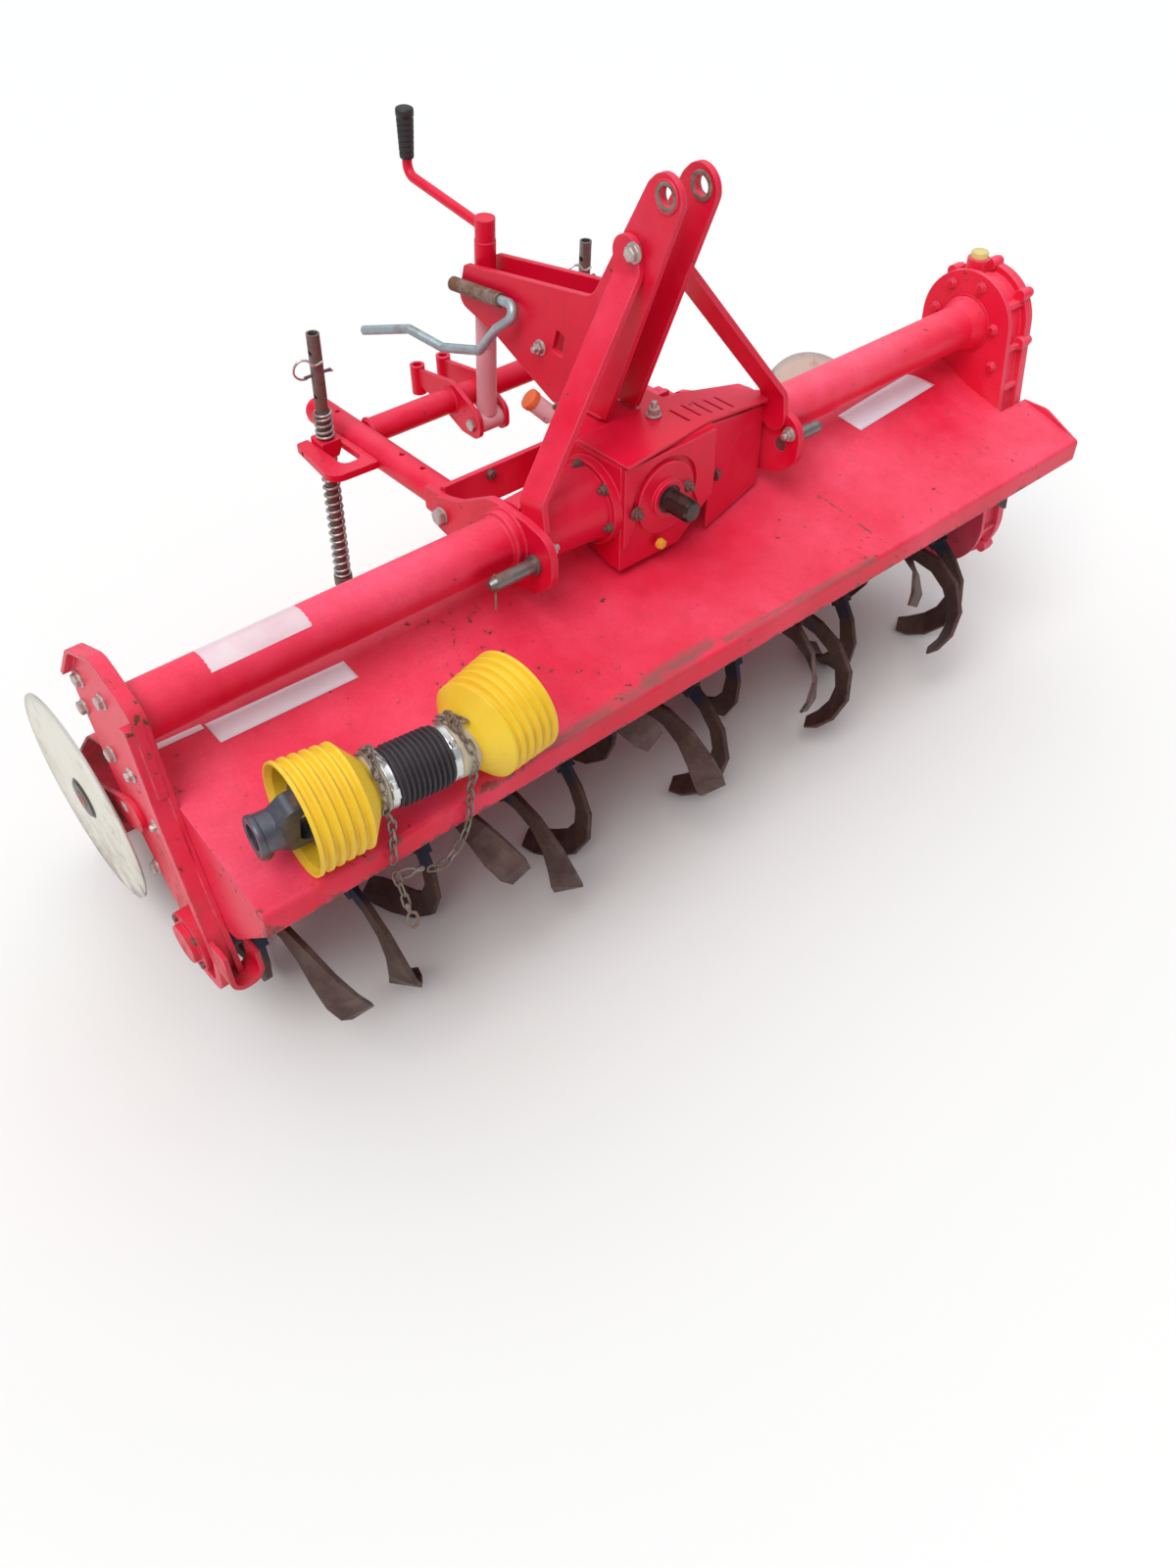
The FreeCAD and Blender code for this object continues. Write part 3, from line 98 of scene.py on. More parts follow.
# Camera at the photograph's place. The focal length is in the photograph's pixels, and the angles are in
# degrees below the horizon and to the right of the way to the rear.
FOCAL_LENGTH = 1255.36
PHOTO_HEIGHT = 1600
SENSOR = 36.0
CAMERA_PLACE = (BEAM_LEFT - 319.4, -1196.5, 979.0)
LOOKS_DOWN = 44.63
LOOKS_RIGHT = 41.16

cam_data = bpy.data.cameras.new("camera")
cam_data.sensor_width = SENSOR
cam_data.lens = FOCAL_LENGTH / PHOTO_HEIGHT * SENSOR
cam_data.clip_end = 60.0
camera = add_object("camera", cam_data)
camera.location = at(*CAMERA_PLACE)
camera.rotation_euler = (math.radians(90.0 - LOOKS_DOWN), 0.0, math.radians(-LOOKS_RIGHT))
bpy.context.scene.camera = camera
bpy.context.scene.view_settings.view_transform = "Standard"


# Shader helpers
class Graph:
    def __init__(self, name):
        self.mat = bpy.data.materials.new(name)
        self.mat.use_nodes = True
        self.tree = self.mat.node_tree
        self.tree.nodes.clear()
        self.bsdf = self.node("BsdfPrincipled")
        self.node("OutputMaterial", {0: self.bsdf.outputs[0]})
        self.coord = self.node("TexCoord").outputs["Object"]
        self.normal = self.node("NewGeometry").outputs["Normal"]

    def put(self, socket, value):
        if isinstance(value, bpy.types.NodeSocket):
            self.tree.links.new(value, socket)
        elif isinstance(value, (tuple, list)) and len(value) == 3 and socket.type == "RGBA":
            socket.default_value = (*value, 1.0)
        else:
            socket.default_value = value

    def node(self, kind, inputs=None):
        """A new node. Its inputs are given a value or a link, by name or number."""
        node = self.tree.nodes.new("ShaderNode" + kind)
        for key, value in (inputs or {}).items():
            self.put(node.inputs[key], value)
        return node

    def set(self, name, value):
        self.put(self.bsdf.inputs[name], value)

    def math(self, operation, a, b, clamp=False):
        node = self.node("Math", {0: a, 1: b})
        node.operation = operation
        node.use_clamp = clamp
        return node.outputs[0]

    def times(self, a, b, clamp=False):
        return self.math("MULTIPLY", a, b, clamp)

    def plus(self, a, b, clamp=False):
        return self.math("ADD", a, b, clamp)

    def vector(self, operation, a, b=None):
        node = self.node("VectorMath", {0: a} if b is None else {0: a, 1: b})
        node.operation = operation
        return node.outputs["Value"] if operation in ("DOT_PRODUCT", "LENGTH") else node.outputs[0]

    def stretched(self, scale):
        return self.vector("MULTIPLY", self.coord, scale)

    def noise(self, scale, detail, rough, vector=None):
        inputs = {"Vector": vector or self.coord, "Scale": scale, "Detail": detail, "Roughness": rough}
        return self.node("TexNoise", inputs).outputs[0]

    def span(self, value, low, high, to_low=0.0, to_high=1.0):
        """A value between low and high, brought between to_low and to_high."""
        node = self.node("MapRange", {0: value, 1: low, 2: high, 3: to_low, 4: to_high})
        node.clamp = True
        return node.outputs[0]

    def mix(self, factor, a, b):
        node = self.node("Mix")
        node.data_type = "RGBA"
        self.put(node.inputs[0], factor)
        self.put(node.inputs[6], a)
        self.put(node.inputs[7], b)
        return node.outputs[2]

    def from_line(self, a, b):
        """Distance in millimetres from the line between two points given from the beam."""
        a, b = at(*a), at(*b)
        along = b - a
        length = along.length
        offset = self.vector("SUBTRACT", self.coord, tuple(a))
        t = self.times(self.vector("DOT_PRODUCT", offset, tuple(along / length)), 1.0 / length, True)
        node = self.node("VectorMath", {0: tuple(along)})
        node.operation = "SCALE"
        self.put(node.inputs[3], t)
        gap = self.vector("LENGTH", self.vector("SUBTRACT", offset, node.outputs[0]))
        return self.times(gap, 1000.0)

    def from_axis(self, axis):
        """The way from an axis that runs along the beam, and the distance from it, in metres."""
        away = self.vector("SUBTRACT", self.coord, tuple(at(0.0, *axis)))
        return away, self.vector("LENGTH", self.vector("MULTIPLY", away, (0.0, 1.0, 1.0)))

    def split(self, value):
        return self.node("SeparateXYZ", {0: value}).outputs

    def bump(self, height, strength, distance, normal=None):
        node = self.node("Bump", {"Strength": strength, "Distance": distance, "Height": height})
        if normal is not None:
            self.put(node.inputs["Normal"], normal)
        return node.outputs[0]

    def edge(self, radius):
        """1 along sharp outer and inner edges, 0 elsewhere, and the softened normal."""
        node = self.node("Bevel", {"Radius": radius})
        node.samples = 4
        flat = self.vector("DOT_PRODUCT", node.outputs[0], self.normal)
        return self.span(flat, 0.995, 0.90), node.outputs[0]


DEEP_RED = (0.74, 0.002, 0.034)
# The pale red stands for sun paling, and also for painted sheen on top faces and painted highlights on edges
PALE_AND_SHEEN_RED = (0.97, 0.100, 0.190)
RUST = (0.13, 0.045, 0.022)
RUST_HALO = (0.30, 0.05, 0.03)
PRIMER = (0.16, 0.065, 0.045)
SMEAR = (0.17, 0.095, 0.085)
SCAR = (0.16, 0.05, 0.04)
MUD = (0.165, 0.098, 0.060)


# Layers of old paint
def sun_paling_and_sheen(g, up, clouds, top_pale_and_sheen):
    """How far the paint is paled: in clouds and patches by the sun, and most on faces that look up, which is
    partly sun paling and partly painted sheen.
    """
    patches = g.span(g.noise(9.0, 5.0, 0.65), 0.35, 0.7)
    # faces that look up are made paler: partly sun paling, partly painted sheen
    sun_pale_and_sheen = g.plus(g.times(up, top_pale_and_sheen), g.span(clouds, 0.36, 0.66, -0.42, 0.50), True)
    return g.times(sun_pale_and_sheen, g.plus(g.times(patches, 0.45), 0.7), True)


def speckles(g, colour, deep):
    """Dull specks and runs. The specks are given back for the relief."""
    grain = g.span(g.noise(240.0, 3.0, 0.7), 0.35, 0.75)
    colour = g.mix(g.times(grain, 0.22), colour, tuple(0.62 * c + 0.01 for c in deep))
    runs = g.span(g.noise(26.0, 4.0, 0.6, g.stretched((1.0, 1.0, 0.14))), 0.52, 0.75)
    return g.mix(g.times(runs, 0.20), colour, tuple(0.55 * c + 0.012 for c in deep)), grain


def chipping(g, colour, spots, chips):
    """Chips down to rust, in groups, each with a stained halo."""
    groups = g.noise(5.0, 3.0, 0.6)
    limit = g.math("SUBTRACT", spots, g.span(groups, 0.45, 0.8, 0.30, 0.30 - 0.16 * chips))
    chip = g.span(limit, 0.40, 0.43)
    halo = g.span(limit, 0.33, 0.42)
    return g.mix(chip, g.mix(g.times(halo, 0.30), colour, RUST_HALO), RUST), chip


def rubbing_and_edge_highlight(g, colour, pale_tone_and_sheen, wear):
    """Edges lightened as a painted highlight, and rubbed to the primer in places. The softened normal is
    given back too.
    """
    edge, soft = g.edge(0.0028)
    rub = g.times(edge, g.span(g.noise(38.0, 5.0, 0.7), 0.42, 0.62, 0.0, wear), True)
    # painted highlight: edges mixed towards a lighter pale red
    colour = g.mix(g.times(edge, 0.6), colour, tuple(min(1.0, 1.1 * c + 0.06) for c in pale_tone_and_sheen))
    return g.mix(rub, colour, PRIMER), soft


def marking(g, colour, spots, smears, scars):
    """Smears and scars are (from, to, half width) of dull soiled streaks and of rusty scratches."""
    streak = g.noise(60.0, 6.0, 0.7, g.stretched((0.25, 1.0, 1.0)))
    for a, b, width in smears:
        ragged = g.plus(g.from_line(a, b), g.span(streak, 0.3, 0.7, -0.6 * width, 0.8 * width))
        near = g.span(ragged, width, 0.35 * width)
        colour = g.mix(g.times(near, g.span(streak, 0.38, 0.58, 0.30, 0.95)), colour, SMEAR)
    for a, b, width in scars:
        ragged = g.plus(g.from_line(a, b), g.span(spots, 0.35, 0.7, -0.5 * width, 2.0 * width))
        near = g.span(ragged, width, 0.6 * width)
        colour = g.mix(g.times(near, 0.8), colour, SCAR)
    return colour


def soiling(g, up, clouds, mud):
    """Soil near the ground, and dust where surfaces look up."""
    height = g.split(g.coord)[2]
    low = g.span(g.plus(height, g.span(clouds, 0.3, 0.7, -0.08, 0.08)), 0.46, 0.05)
    splashes = g.noise(34.0, 9.0, 0.74, g.stretched((1.0, 1.0, 0.45)))
    soil = g.times(low, g.span(splashes, 0.47, 0.60), True)
    dust = g.times(up, g.span(g.noise(6.0, 6.0, 0.7), 0.45, 0.8, 0.0, 0.22))
    return g.times(g.plus(soil, dust, True), mud, True)


def paint(name, deep=DEEP_RED, pale_tone_and_sheen=PALE_AND_SHEEN_RED, top_pale_and_sheen=0.45, chips=0.5, mud=0.35, wear=0.5, rough=0.36,
          smears=(), scars=()):
    """Old sprayed enamel: paler on top, partly sun paling and partly painted sheen, speckled, chipped to
    rust, worn on its edges, with a painted highlight along them.
    """
    g = Graph(name)
    up = g.span(g.split(g.normal)[2], -0.2, 1.0)
    clouds = g.noise(1.9, 6.0, 0.6)
    spots = g.noise(75.0, 6.0, 0.62)
    sun_pale_and_sheen = sun_paling_and_sheen(g, up, clouds, top_pale_and_sheen)
    colour, grain = speckles(g, g.mix(sun_pale_and_sheen, deep, pale_tone_and_sheen), deep)
    colour, chip = chipping(g, colour, spots, chips)
    colour, soft = rubbing_and_edge_highlight(g, colour, pale_tone_and_sheen, wear)
    colour = marking(g, colour, spots, smears, scars)
    cover = soiling(g, up, clouds, mud)
    g.set("Base Color", g.mix(cover, colour, MUD))
    dull = g.plus(g.times(sun_pale_and_sheen, 0.16), rough)
    g.set("Roughness", g.plus(dull, g.times(g.math("MAXIMUM", chip, cover), 0.45), True))
    relief = g.plus(g.times(grain, 0.10), g.times(chip, -0.8))
    relief = g.plus(relief, g.times(clouds, 1.2))
    g.set("Normal", g.bump(relief, 0.35, 0.0012, soft))
    g.set("Specular IOR Level", 0.28)
    return g.mat


def steel(name, bright, rust, rough, metallic=0.85, soil=0.2):
    """Bare or plated steel with rust bloom and dried soil."""
    g = Graph(name)
    bloom = g.noise(22.0, 8.0, 0.68)
    mask = g.span(bloom, 0.62 - 0.35 * rust, 0.80 - 0.30 * rust)
    fine = g.noise(190.0, 4.0, 0.7)
    brown = g.mix(g.span(fine, 0.3, 0.7), (0.085, 0.036, 0.020), (0.24, 0.115, 0.062))
    grey = g.mix(g.span(g.noise(60.0, 4.0, 0.6), 0.3, 0.7), tuple(0.72 * c for c in bright), bright)
    colour = g.mix(mask, grey, brown)
    edge, soft = g.edge(0.0016)
    colour = g.mix(g.times(edge, 0.35), colour, tuple(min(1.0, 1.25 * c) for c in bright))
    dirt = g.span(g.noise(12.0, 7.0, 0.7), 0.5, 0.72, 0.0, soil)
    g.set("Base Color", g.mix(dirt, colour, MUD))
    cover = g.math("MAXIMUM", mask, dirt)
    g.set("Metallic", g.times(g.math("SUBTRACT", 1.0, cover), metallic, True))
    g.set("Roughness", g.span(cover, 0.0, 1.0, rough, 0.82))
    relief = g.plus(g.times(fine, g.span(cover, 0.0, 1.0, 0.12, 0.9)), bloom)
    g.set("Normal", g.bump(relief, 0.45, 0.0010, soft))
    return g.mat


def tine_steel(name):
    """Blades: rust brown near the shaft, bluish at their sockets, ground and earthy towards the tip."""
    g = Graph(name)
    away, reach = g.from_axis(ROTOR)
    bloom = g.noise(26.0, 8.0, 0.68)
    fine = g.noise(210.0, 4.0, 0.7)
    brown = g.mix(g.span(fine, 0.3, 0.7), (0.030, 0.013, 0.010), (0.115, 0.050, 0.032))
    worn = g.mix(g.span(bloom, 0.35, 0.7), (0.058, 0.027, 0.025), (0.140, 0.082, 0.072))
    tip = g.plus(g.span(reach, 0.11, 0.225), g.span(bloom, 0.3, 0.7, -0.3, 0.3), True)
    socket = g.times(g.span(reach, 0.100, 0.084), g.span(bloom, 0.62, 0.48, 0.15, 0.9))
    colour = g.mix(socket, g.mix(tip, brown, worn), (0.015, 0.022, 0.055))
    soil = g.span(g.noise(11.0, 7.0, 0.7), 0.52, 0.72, 0.0, 0.7)
    g.set("Base Color", g.mix(soil, colour, (0.105, 0.066, 0.050)))
    g.set("Metallic", g.times(g.math("SUBTRACT", tip, soil, True), 0.55))
    g.set("Roughness", g.span(tip, 0.0, 1.0, 0.85, 0.55))
    edge, soft = g.edge(0.002)
    g.set("Normal", g.bump(g.plus(fine, bloom), 0.55, 0.0014, soft))
    return g.mat


def disc_paint(name):
    """Cream disc worn to bright metal at its rim, scratched in rings, with a greasy boss in its middle."""
    g = Graph(name)
    away, reach = g.from_axis(DISCS)
    clouds = g.noise(9.0, 6.0, 0.6)
    colour = g.mix(g.span(clouds, 0.3, 0.7), (0.66, 0.62, 0.50), (0.80, 0.78, 0.70))
    rings = g.noise(1.0, 6.0, 0.7, g.vector("MULTIPLY", away, (1.0, 5.0, 22.0)))
    scratch = g.span(rings, 0.60, 0.66)
    colour = g.mix(g.times(scratch, 0.75), colour, (0.86, 0.86, 0.84))
    rim = g.plus(g.span(reach, 0.158, 0.172), g.span(clouds, 0.3, 0.7, -0.3, 0.3), True)
    colour = g.mix(rim, colour, (0.55, 0.53, 0.50))
    stain = g.span(g.noise(20.0, 7.0, 0.7), 0.55, 0.75, 0.0, 0.6)
    colour = g.mix(stain, colour, (0.30, 0.22, 0.14))
    low = g.span(g.split(g.coord)[2], 0.30, 0.09)
    soil = g.times(low, g.span(g.noise(16.0, 6.0, 0.7), 0.4, 0.62))
    colour = g.mix(g.times(soil, 0.75), colour, MUD)
    g.set("Base Color", g.mix(g.span(reach, 0.036, 0.034), colour, (0.06, 0.045, 0.038)))
    g.set("Metallic", g.times(g.math("MAXIMUM", rim, scratch), 0.5))
    g.set("Roughness", g.span(stain, 0.0, 0.6, 0.38, 0.75))
    edge, soft = g.edge(0.0015)
    g.set("Normal", g.bump(clouds, 0.25, 0.001, soft))
    return g.mat


def plastic(name, colour, dark, rough=0.45, dirt=0.3, sheet=False):
    """Moulded plastic gone chalky, with soil caught in it. A thin sheet has no softened edges."""
    g = Graph(name)
    base = g.mix(g.span(g.noise(12.0, 5.0, 0.6), 0.3, 0.7), dark, colour)
    fine = g.noise(260.0, 3.0, 0.6)
    soil = g.span(g.noise(24.0, 7.0, 0.7), 0.55, 0.78, 0.0, dirt)
    g.set("Base Color", g.mix(soil, base, MUD))
    g.set("Roughness", g.span(soil, 0.0, dirt, rough, 0.8))
    soft = None if sheet else g.edge(0.0012)[1]
    g.set("Normal", g.bump(fine, 0.18, 0.0006, soft))
    return g.mat


# Marks on the hood: from, to, half width
HOOD_SMEARS = (
    ((-190, -226, -160), (-66, -226, -160), 20),
    ((-420, -236, -163), (-180, -232, -162), 14),
    ((-40, -232, -162), (300, -238, -164), 10),
)
HOOD_SCARS = (
    # a long scratch on the slope, and two spots beside it
    ((322, -91, -123), (333, -145, -138), 3.6),
    ((333, -145, -138), (339, -201, -153), 3.2),
    ((412, -200, -153), (418, -199, -153), 7),
    ((480, -119, -131), (481, -118, -131), 5),
    # the torn corner, and the lip's lower and upper edges
    ((-840, -240, -168), (-832, -240, -200), 16),
    ((-840, -240, -198), (-560, -240, -202), 9.0),
    ((-560, -240, -202), (260, -240, -202), 6.5),
    ((260, -240, -202), (790, -240, -202), 8.5),
    ((-700, -240, -168), (-640, -240, -168), 8.0),
    ((-520, -240, -168), (-430, -240, -168), 8.0),
)
# Bare ends of the discs' axles
AXLE_SCARS = (
    ((-871, *DISCS), (-858, *DISCS), 13),
    ((812, *DISCS), (824, *DISCS), 13),
)

red = paint("red_enamel")
red_hood = paint("red_enamel_hood", top_pale_and_sheen=0.55, chips=0.75, mud=0.40, smears=HOOD_SMEARS, scars=HOOD_SCARS)
# a paler, brighter copy of the red for the right end: partly sun paling, partly painted highlight and sheen
red_lit_and_pale = paint("red_enamel_lit_and_pale", deep=(0.84, 0.012, 0.050), pale_tone_and_sheen=(0.98, 0.16, 0.26), top_pale_and_sheen=0.75)
red_low = paint("red_enamel_low", top_pale_and_sheen=0.35, chips=0.9, mud=0.95, wear=0.9)
red_arm = paint("red_enamel_arm", top_pale_and_sheen=0.35, chips=0.9, mud=0.9, wear=0.9, scars=AXLE_SCARS)
pink = paint("bleached_enamel", deep=(0.76, 0.42, 0.46), pale_tone_and_sheen=(0.90, 0.72, 0.74), top_pale_and_sheen=0.5, chips=0.4,
             rough=0.5)
tines = tine_steel("tine_steel")
rusty = steel("rusty_steel", (0.42, 0.40, 0.38), rust=0.85, metallic=0.6, rough=0.5)
zinc = steel("zinc_plate", (0.58, 0.53, 0.50), rust=0.30, metallic=0.7, rough=0.40, soil=0.3)
blue_steel = steel("blue_grey_steel", (0.42, 0.52, 0.56), rust=0.22, metallic=0.5, rough=0.4, soil=0.25)
dark_steel = steel("dark_steel", (0.125, 0.130, 0.165), rust=0.34, metallic=0.7, rough=0.38)
greasy = steel("greasy_steel", (0.058, 0.034, 0.033), rust=0.38, metallic=0.35, rough=0.33, soil=0.1)
painted_bolt = steel("overpainted_steel", (0.20, 0.085, 0.085), rust=0.45, metallic=0.35, rough=0.5)
pin_steel = steel("pin_steel", (0.26, 0.24, 0.23), rust=0.40, metallic=0.8, rough=0.36, soil=0.15)
rod_steel = steel("rod_steel", (0.22, 0.20, 0.19), rust=0.45, metallic=0.6, rough=0.42, soil=0.15)
spring_wire = steel("spring_wire", (0.62, 0.62, 0.60), rust=0.34, rough=0.36, soil=0.15)
bright_band = steel("bright_band", (0.78, 0.78, 0.77), rust=0.05, rough=0.28, soil=0.08)
chain_steel = steel("chain_steel", (0.30, 0.27, 0.25), rust=0.55, rough=0.45, soil=0.2)
yellow = plastic("yellow_guard", (0.88, 0.60, 0.030), (0.78, 0.48, 0.022))
soft_rubber = plastic("dusty_rubber", (0.060, 0.048, 0.058), (0.030, 0.025, 0.030), rough=0.6, dirt=0.25)
rubber = plastic("black_rubber", (0.022, 0.021, 0.022), (0.014, 0.013, 0.014), rough=0.5, dirt=0.18)
sleeve = plastic("sleeve_plastic", (0.56, 0.47, 0.33), (0.46, 0.37, 0.24), dirt=0.25)
pale_cap = plastic("pale_cap_plastic", (0.78, 0.66, 0.26), (0.66, 0.52, 0.18), dirt=0.3)
orange_cap = plastic("orange_cap_plastic", (0.75, 0.13, 0.03), (0.60, 0.09, 0.02), dirt=0.25)
amber = plastic("amber_plug_plastic", (0.88, 0.44, 0.03), (0.74, 0.33, 0.02), dirt=0.2)
label = plastic("blank_label", (0.90, 0.93, 1.00), (0.80, 0.82, 0.92), rough=0.35, dirt=0.10, sheet=True)
tape = plastic("blank_tape", (0.80, 0.66, 0.70), (0.68, 0.44, 0.49), rough=0.28, dirt=0.12, sheet=True)

# Nodes that aren't plain red
NODE_MATERIALS = {name: material for material, names in (
    (disc_paint("left_disc_paint"), "left_disc"),
    (disc_paint("right_disc_paint"), "right_disc"),
    (tines, "rotor"),
    (pink, "jack_tube oil_filler"),
    (rusty, "handle_socket"),
    (blue_steel, "stowed_handle"),
    (rubber, "crank_grip"),
    (soft_rubber, "driveline_bellows"),
    (dark_steel, "driveline_yoke"),
    (yellow, "left_guard_cone right_guard_cone"),
    (pale_cap, "filler_plug"),
    (orange_cap, "oil_filler_cap"),
    (greasy, "input_stub"),
    (pin_steel, "left_lower_pin right_lower_pin"),
    (zinc, "left_hinge_bolt right_hinge_bolt jack_lower_pin"),
    (rod_steel, "left_spring_rod right_spring_rod"),
    (spring_wire, "left_springs right_springs"),
    (red_hood, "hood"),
    # the right end gets the paler red as painted highlight
    (red_lit_and_pale, "right_beam_tube chain_case chain_case_cover"),
    (red_low, "rear_cover side_plate end_bearing cover_hinge"),
    (red_arm, "left_disc_arm right_disc_arm"),
) for name in names.split()}
for name, obj in nodes.items():
    obj.data.materials.clear()
    obj.data.materials.append(NODE_MATERIALS.get(name, red))


# Mesh helpers: pieces are drawn in millimetres from the beam
WELD_PITCH = 2.6
THREAD_PITCH = 1.5


def axes_for(direction):
    """Two ways square to a direction, and the direction at length 1."""
    w = Vector(direction).normalized()
    u = (UP if abs(w.z) < 0.9 else REAR).cross(w).normalized()
    return u, w.cross(u), w


def spoke(u, v, angle, radius=1.0):
    """The way at an angle from u towards v."""
    return (u * math.cos(angle) + v * math.sin(angle)) * radius


def around(axis, radius, degrees):
    """The (y, z) at an angle round an axis that runs along the beam, from the rear upwards."""
    a = math.radians(degrees)
    return axis[0] + radius * math.cos(a), axis[1] + radius * math.sin(a)


def smooth_path(points, steps=6):
    """Points of a curve that runs smoothly through the given ones."""
    points = [Vector(p) for p in points]
    line = []
    for i in range(len(points) - 1):
        a = points[max(i - 1, 0)]
        b, c = points[i], points[i + 1]
        d = points[min(i + 2, len(points) - 1)]
        for k in range(steps):
            t = k / steps
            line.append(0.5 * (2 * b + (c - a) * t + (2 * a - 5 * b + 4 * c - d) * t * t
                               + (3 * b - a - 3 * c + d) * t * t * t))
    return line + [points[-1]]


def along_path(points, pitch):
    """Places at an even pitch along a line, each with the way the line runs there."""
    places = []
    left = pitch / 2
    for a, b in zip(points, points[1:]):
        gap = (b - a).length
        while left <= gap:
            places.append((a.lerp(b, left / gap), (b - a).normalized()))
            left += pitch
        left -= gap
    return places


def ripples(bead, count):
    """Radii along a weld bead."""
    return [bead * (1.06 if i % 2 else 0.88) * random.uniform(0.92, 1.08) for i in range(count)]


class Piece:
    """Faces gathered into one object that rides on a body."""

    def __init__(self, name, body, material, slot):
        self.name = name
        self.body = body
        self.material = material
        self.slot = slot
        self.bm = bmesh.new()

    def vert(self, place):
        return self.bm.verts.new(place)

    def ring(self, centre, u, v, radius, count, start=0.0):
        return [self.vert(centre + spoke(u, v, start + 2 * math.pi * i / count, radius))
                for i in range(count)]

    def join(self, a, b):
        """Faces between two rings, or between a ring and a tip."""
        if len(a) == 1 or len(b) == 1:
            tip, ring = (a[0], b) if len(a) == 1 else (b[0], a)
            for i in range(len(ring)):
                self.bm.faces.new((tip, ring[i], ring[(i + 1) % len(ring)]))
            return
        for i in range(len(a)):
            j = (i + 1) % len(a)
            self.bm.faces.new((a[i], a[j], b[j], b[i]))

    def join_all(self, rings, closed):
        """Faces along a row of rings, whose ends may join."""
        for a, b in zip(rings, rings[1:]):
            self.join(a, b)
        if closed:
            self.join(rings[-1], rings[0])

    def turned(self, place, direction, profile, count=28, start=0.0, closed=False):
        """A profile of (distance along the direction, radius) turned about it."""
        u, v, w = axes_for(direction)
        place = Vector(place)
        rings = []
        for along, radius in profile:
            centre = place + w * along
            rings.append(self.ring(centre, u, v, radius, count, start) if radius else [self.vert(centre)])
        self.join_all(rings, closed)

    def sweep(self, points, radius, count=8, closed=False):
        """A round wire through points. The radius may be a list, one for each point."""
        points = [Vector(p) for p in points]
        last = len(points) - 1
        radii = radius if isinstance(radius, list) else [radius] * len(points)
        rings = []
        normal = None
        for i, place in enumerate(points):
            before = points[i - 1] if closed or i else place
            after = points[(i + 1) % len(points)] if closed or i < last else place
            way = (after - before).normalized()
            normal = axes_for(way)[0] if normal is None else (normal - way * normal.dot(way)).normalized()
            rings.append(self.ring(place, normal, way.cross(normal), radii[i], count))
        self.join_all(rings, closed)
        if not closed:
            self.bm.faces.new(rings[0])
            self.bm.faces.new(rings[-1])

    def slab(self, outline, through):
        """A flat plate: its corners, and the way through its thickness."""
        low = [self.vert(Vector(p)) for p in outline]
        high = [self.vert(Vector(p) + Vector(through)) for p in outline]
        self.bm.faces.new(low)
        self.bm.faces.new(high)
        self.join(low, high)

    def bolt(self, place, out, across, height=7.5, washer=12.0, thread=0.0):
        """A hex head or nut on its washer, with a threaded end where one stands out."""
        base = 0.0
        if washer:
            self.turned(place, out, [(-0.6, 0), (-0.6, washer), (1.6, washer), (2.0, washer - 0.6), (2.0, 0)])
            base = 1.9
        corner = across / math.sqrt(3)
        top = base + height
        turn = random.uniform(0.0, math.pi / 3)
        self.turned(place, out, [(base - 0.5, 0), (base - 0.5, corner), (top - 1.4, corner),
                                 (top, corner * 0.84), (top + 0.15, corner * 0.70), (top + 0.15, 0)], 6, turn)
        if thread:
            r = across * 0.29
            profile = [(top - 1, 0), (top - 1, r)]
            along = top
            while along < top + thread - THREAD_PITCH:
                profile += [(along, r), (along + THREAD_PITCH / 2, r - 0.7)]
                along += THREAD_PITCH
            profile += [(top + thread - 1, r), (top + thread, r - 1.2), (top + thread, 0)]
            self.turned(place, out, profile, 16)

    def weld(self, points, bead):
        """A rippled weld bead that tapers at its ends."""
        places = [place for place, way in along_path([Vector(p) for p in points], WELD_PITCH)]
        radii = ripples(bead, len(places))
        radii[0] = radii[-1] = bead * 0.4
        self.sweep(places, radii, 7)

    def ring_weld(self, centre, radius, bead, out=RIGHT):
        """A rippled weld bead round a tube that runs along the beam."""
        count = int(math.pi * radius / WELD_PITCH) * 2
        u, v, w = axes_for(out)
        points = [Vector(centre) + spoke(u, v, 2 * math.pi * i / count, radius) for i in range(count)]
        self.sweep(points, ripples(bead, count), 7, True)

    def done(self, angle=35.0, stands_for=()):
        bmesh.ops.recalc_face_normals(self.bm, faces=self.bm.faces)
        for vert in self.bm.verts:
            vert.co = at(*vert.co)
        mesh = bpy.data.meshes.new(self.name)
        self.bm.to_mesh(mesh)
        self.bm.free()
        mesh.polygons.foreach_set("use_smooth", [True] * len(mesh.polygons))
        mesh.set_sharp_from_angle(angle=math.radians(angle))
        mesh.materials.append(self.material)
        obj = add_object(self.name, mesh)
        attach(obj, self.body)
        if stands_for:
            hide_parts(*stands_for)


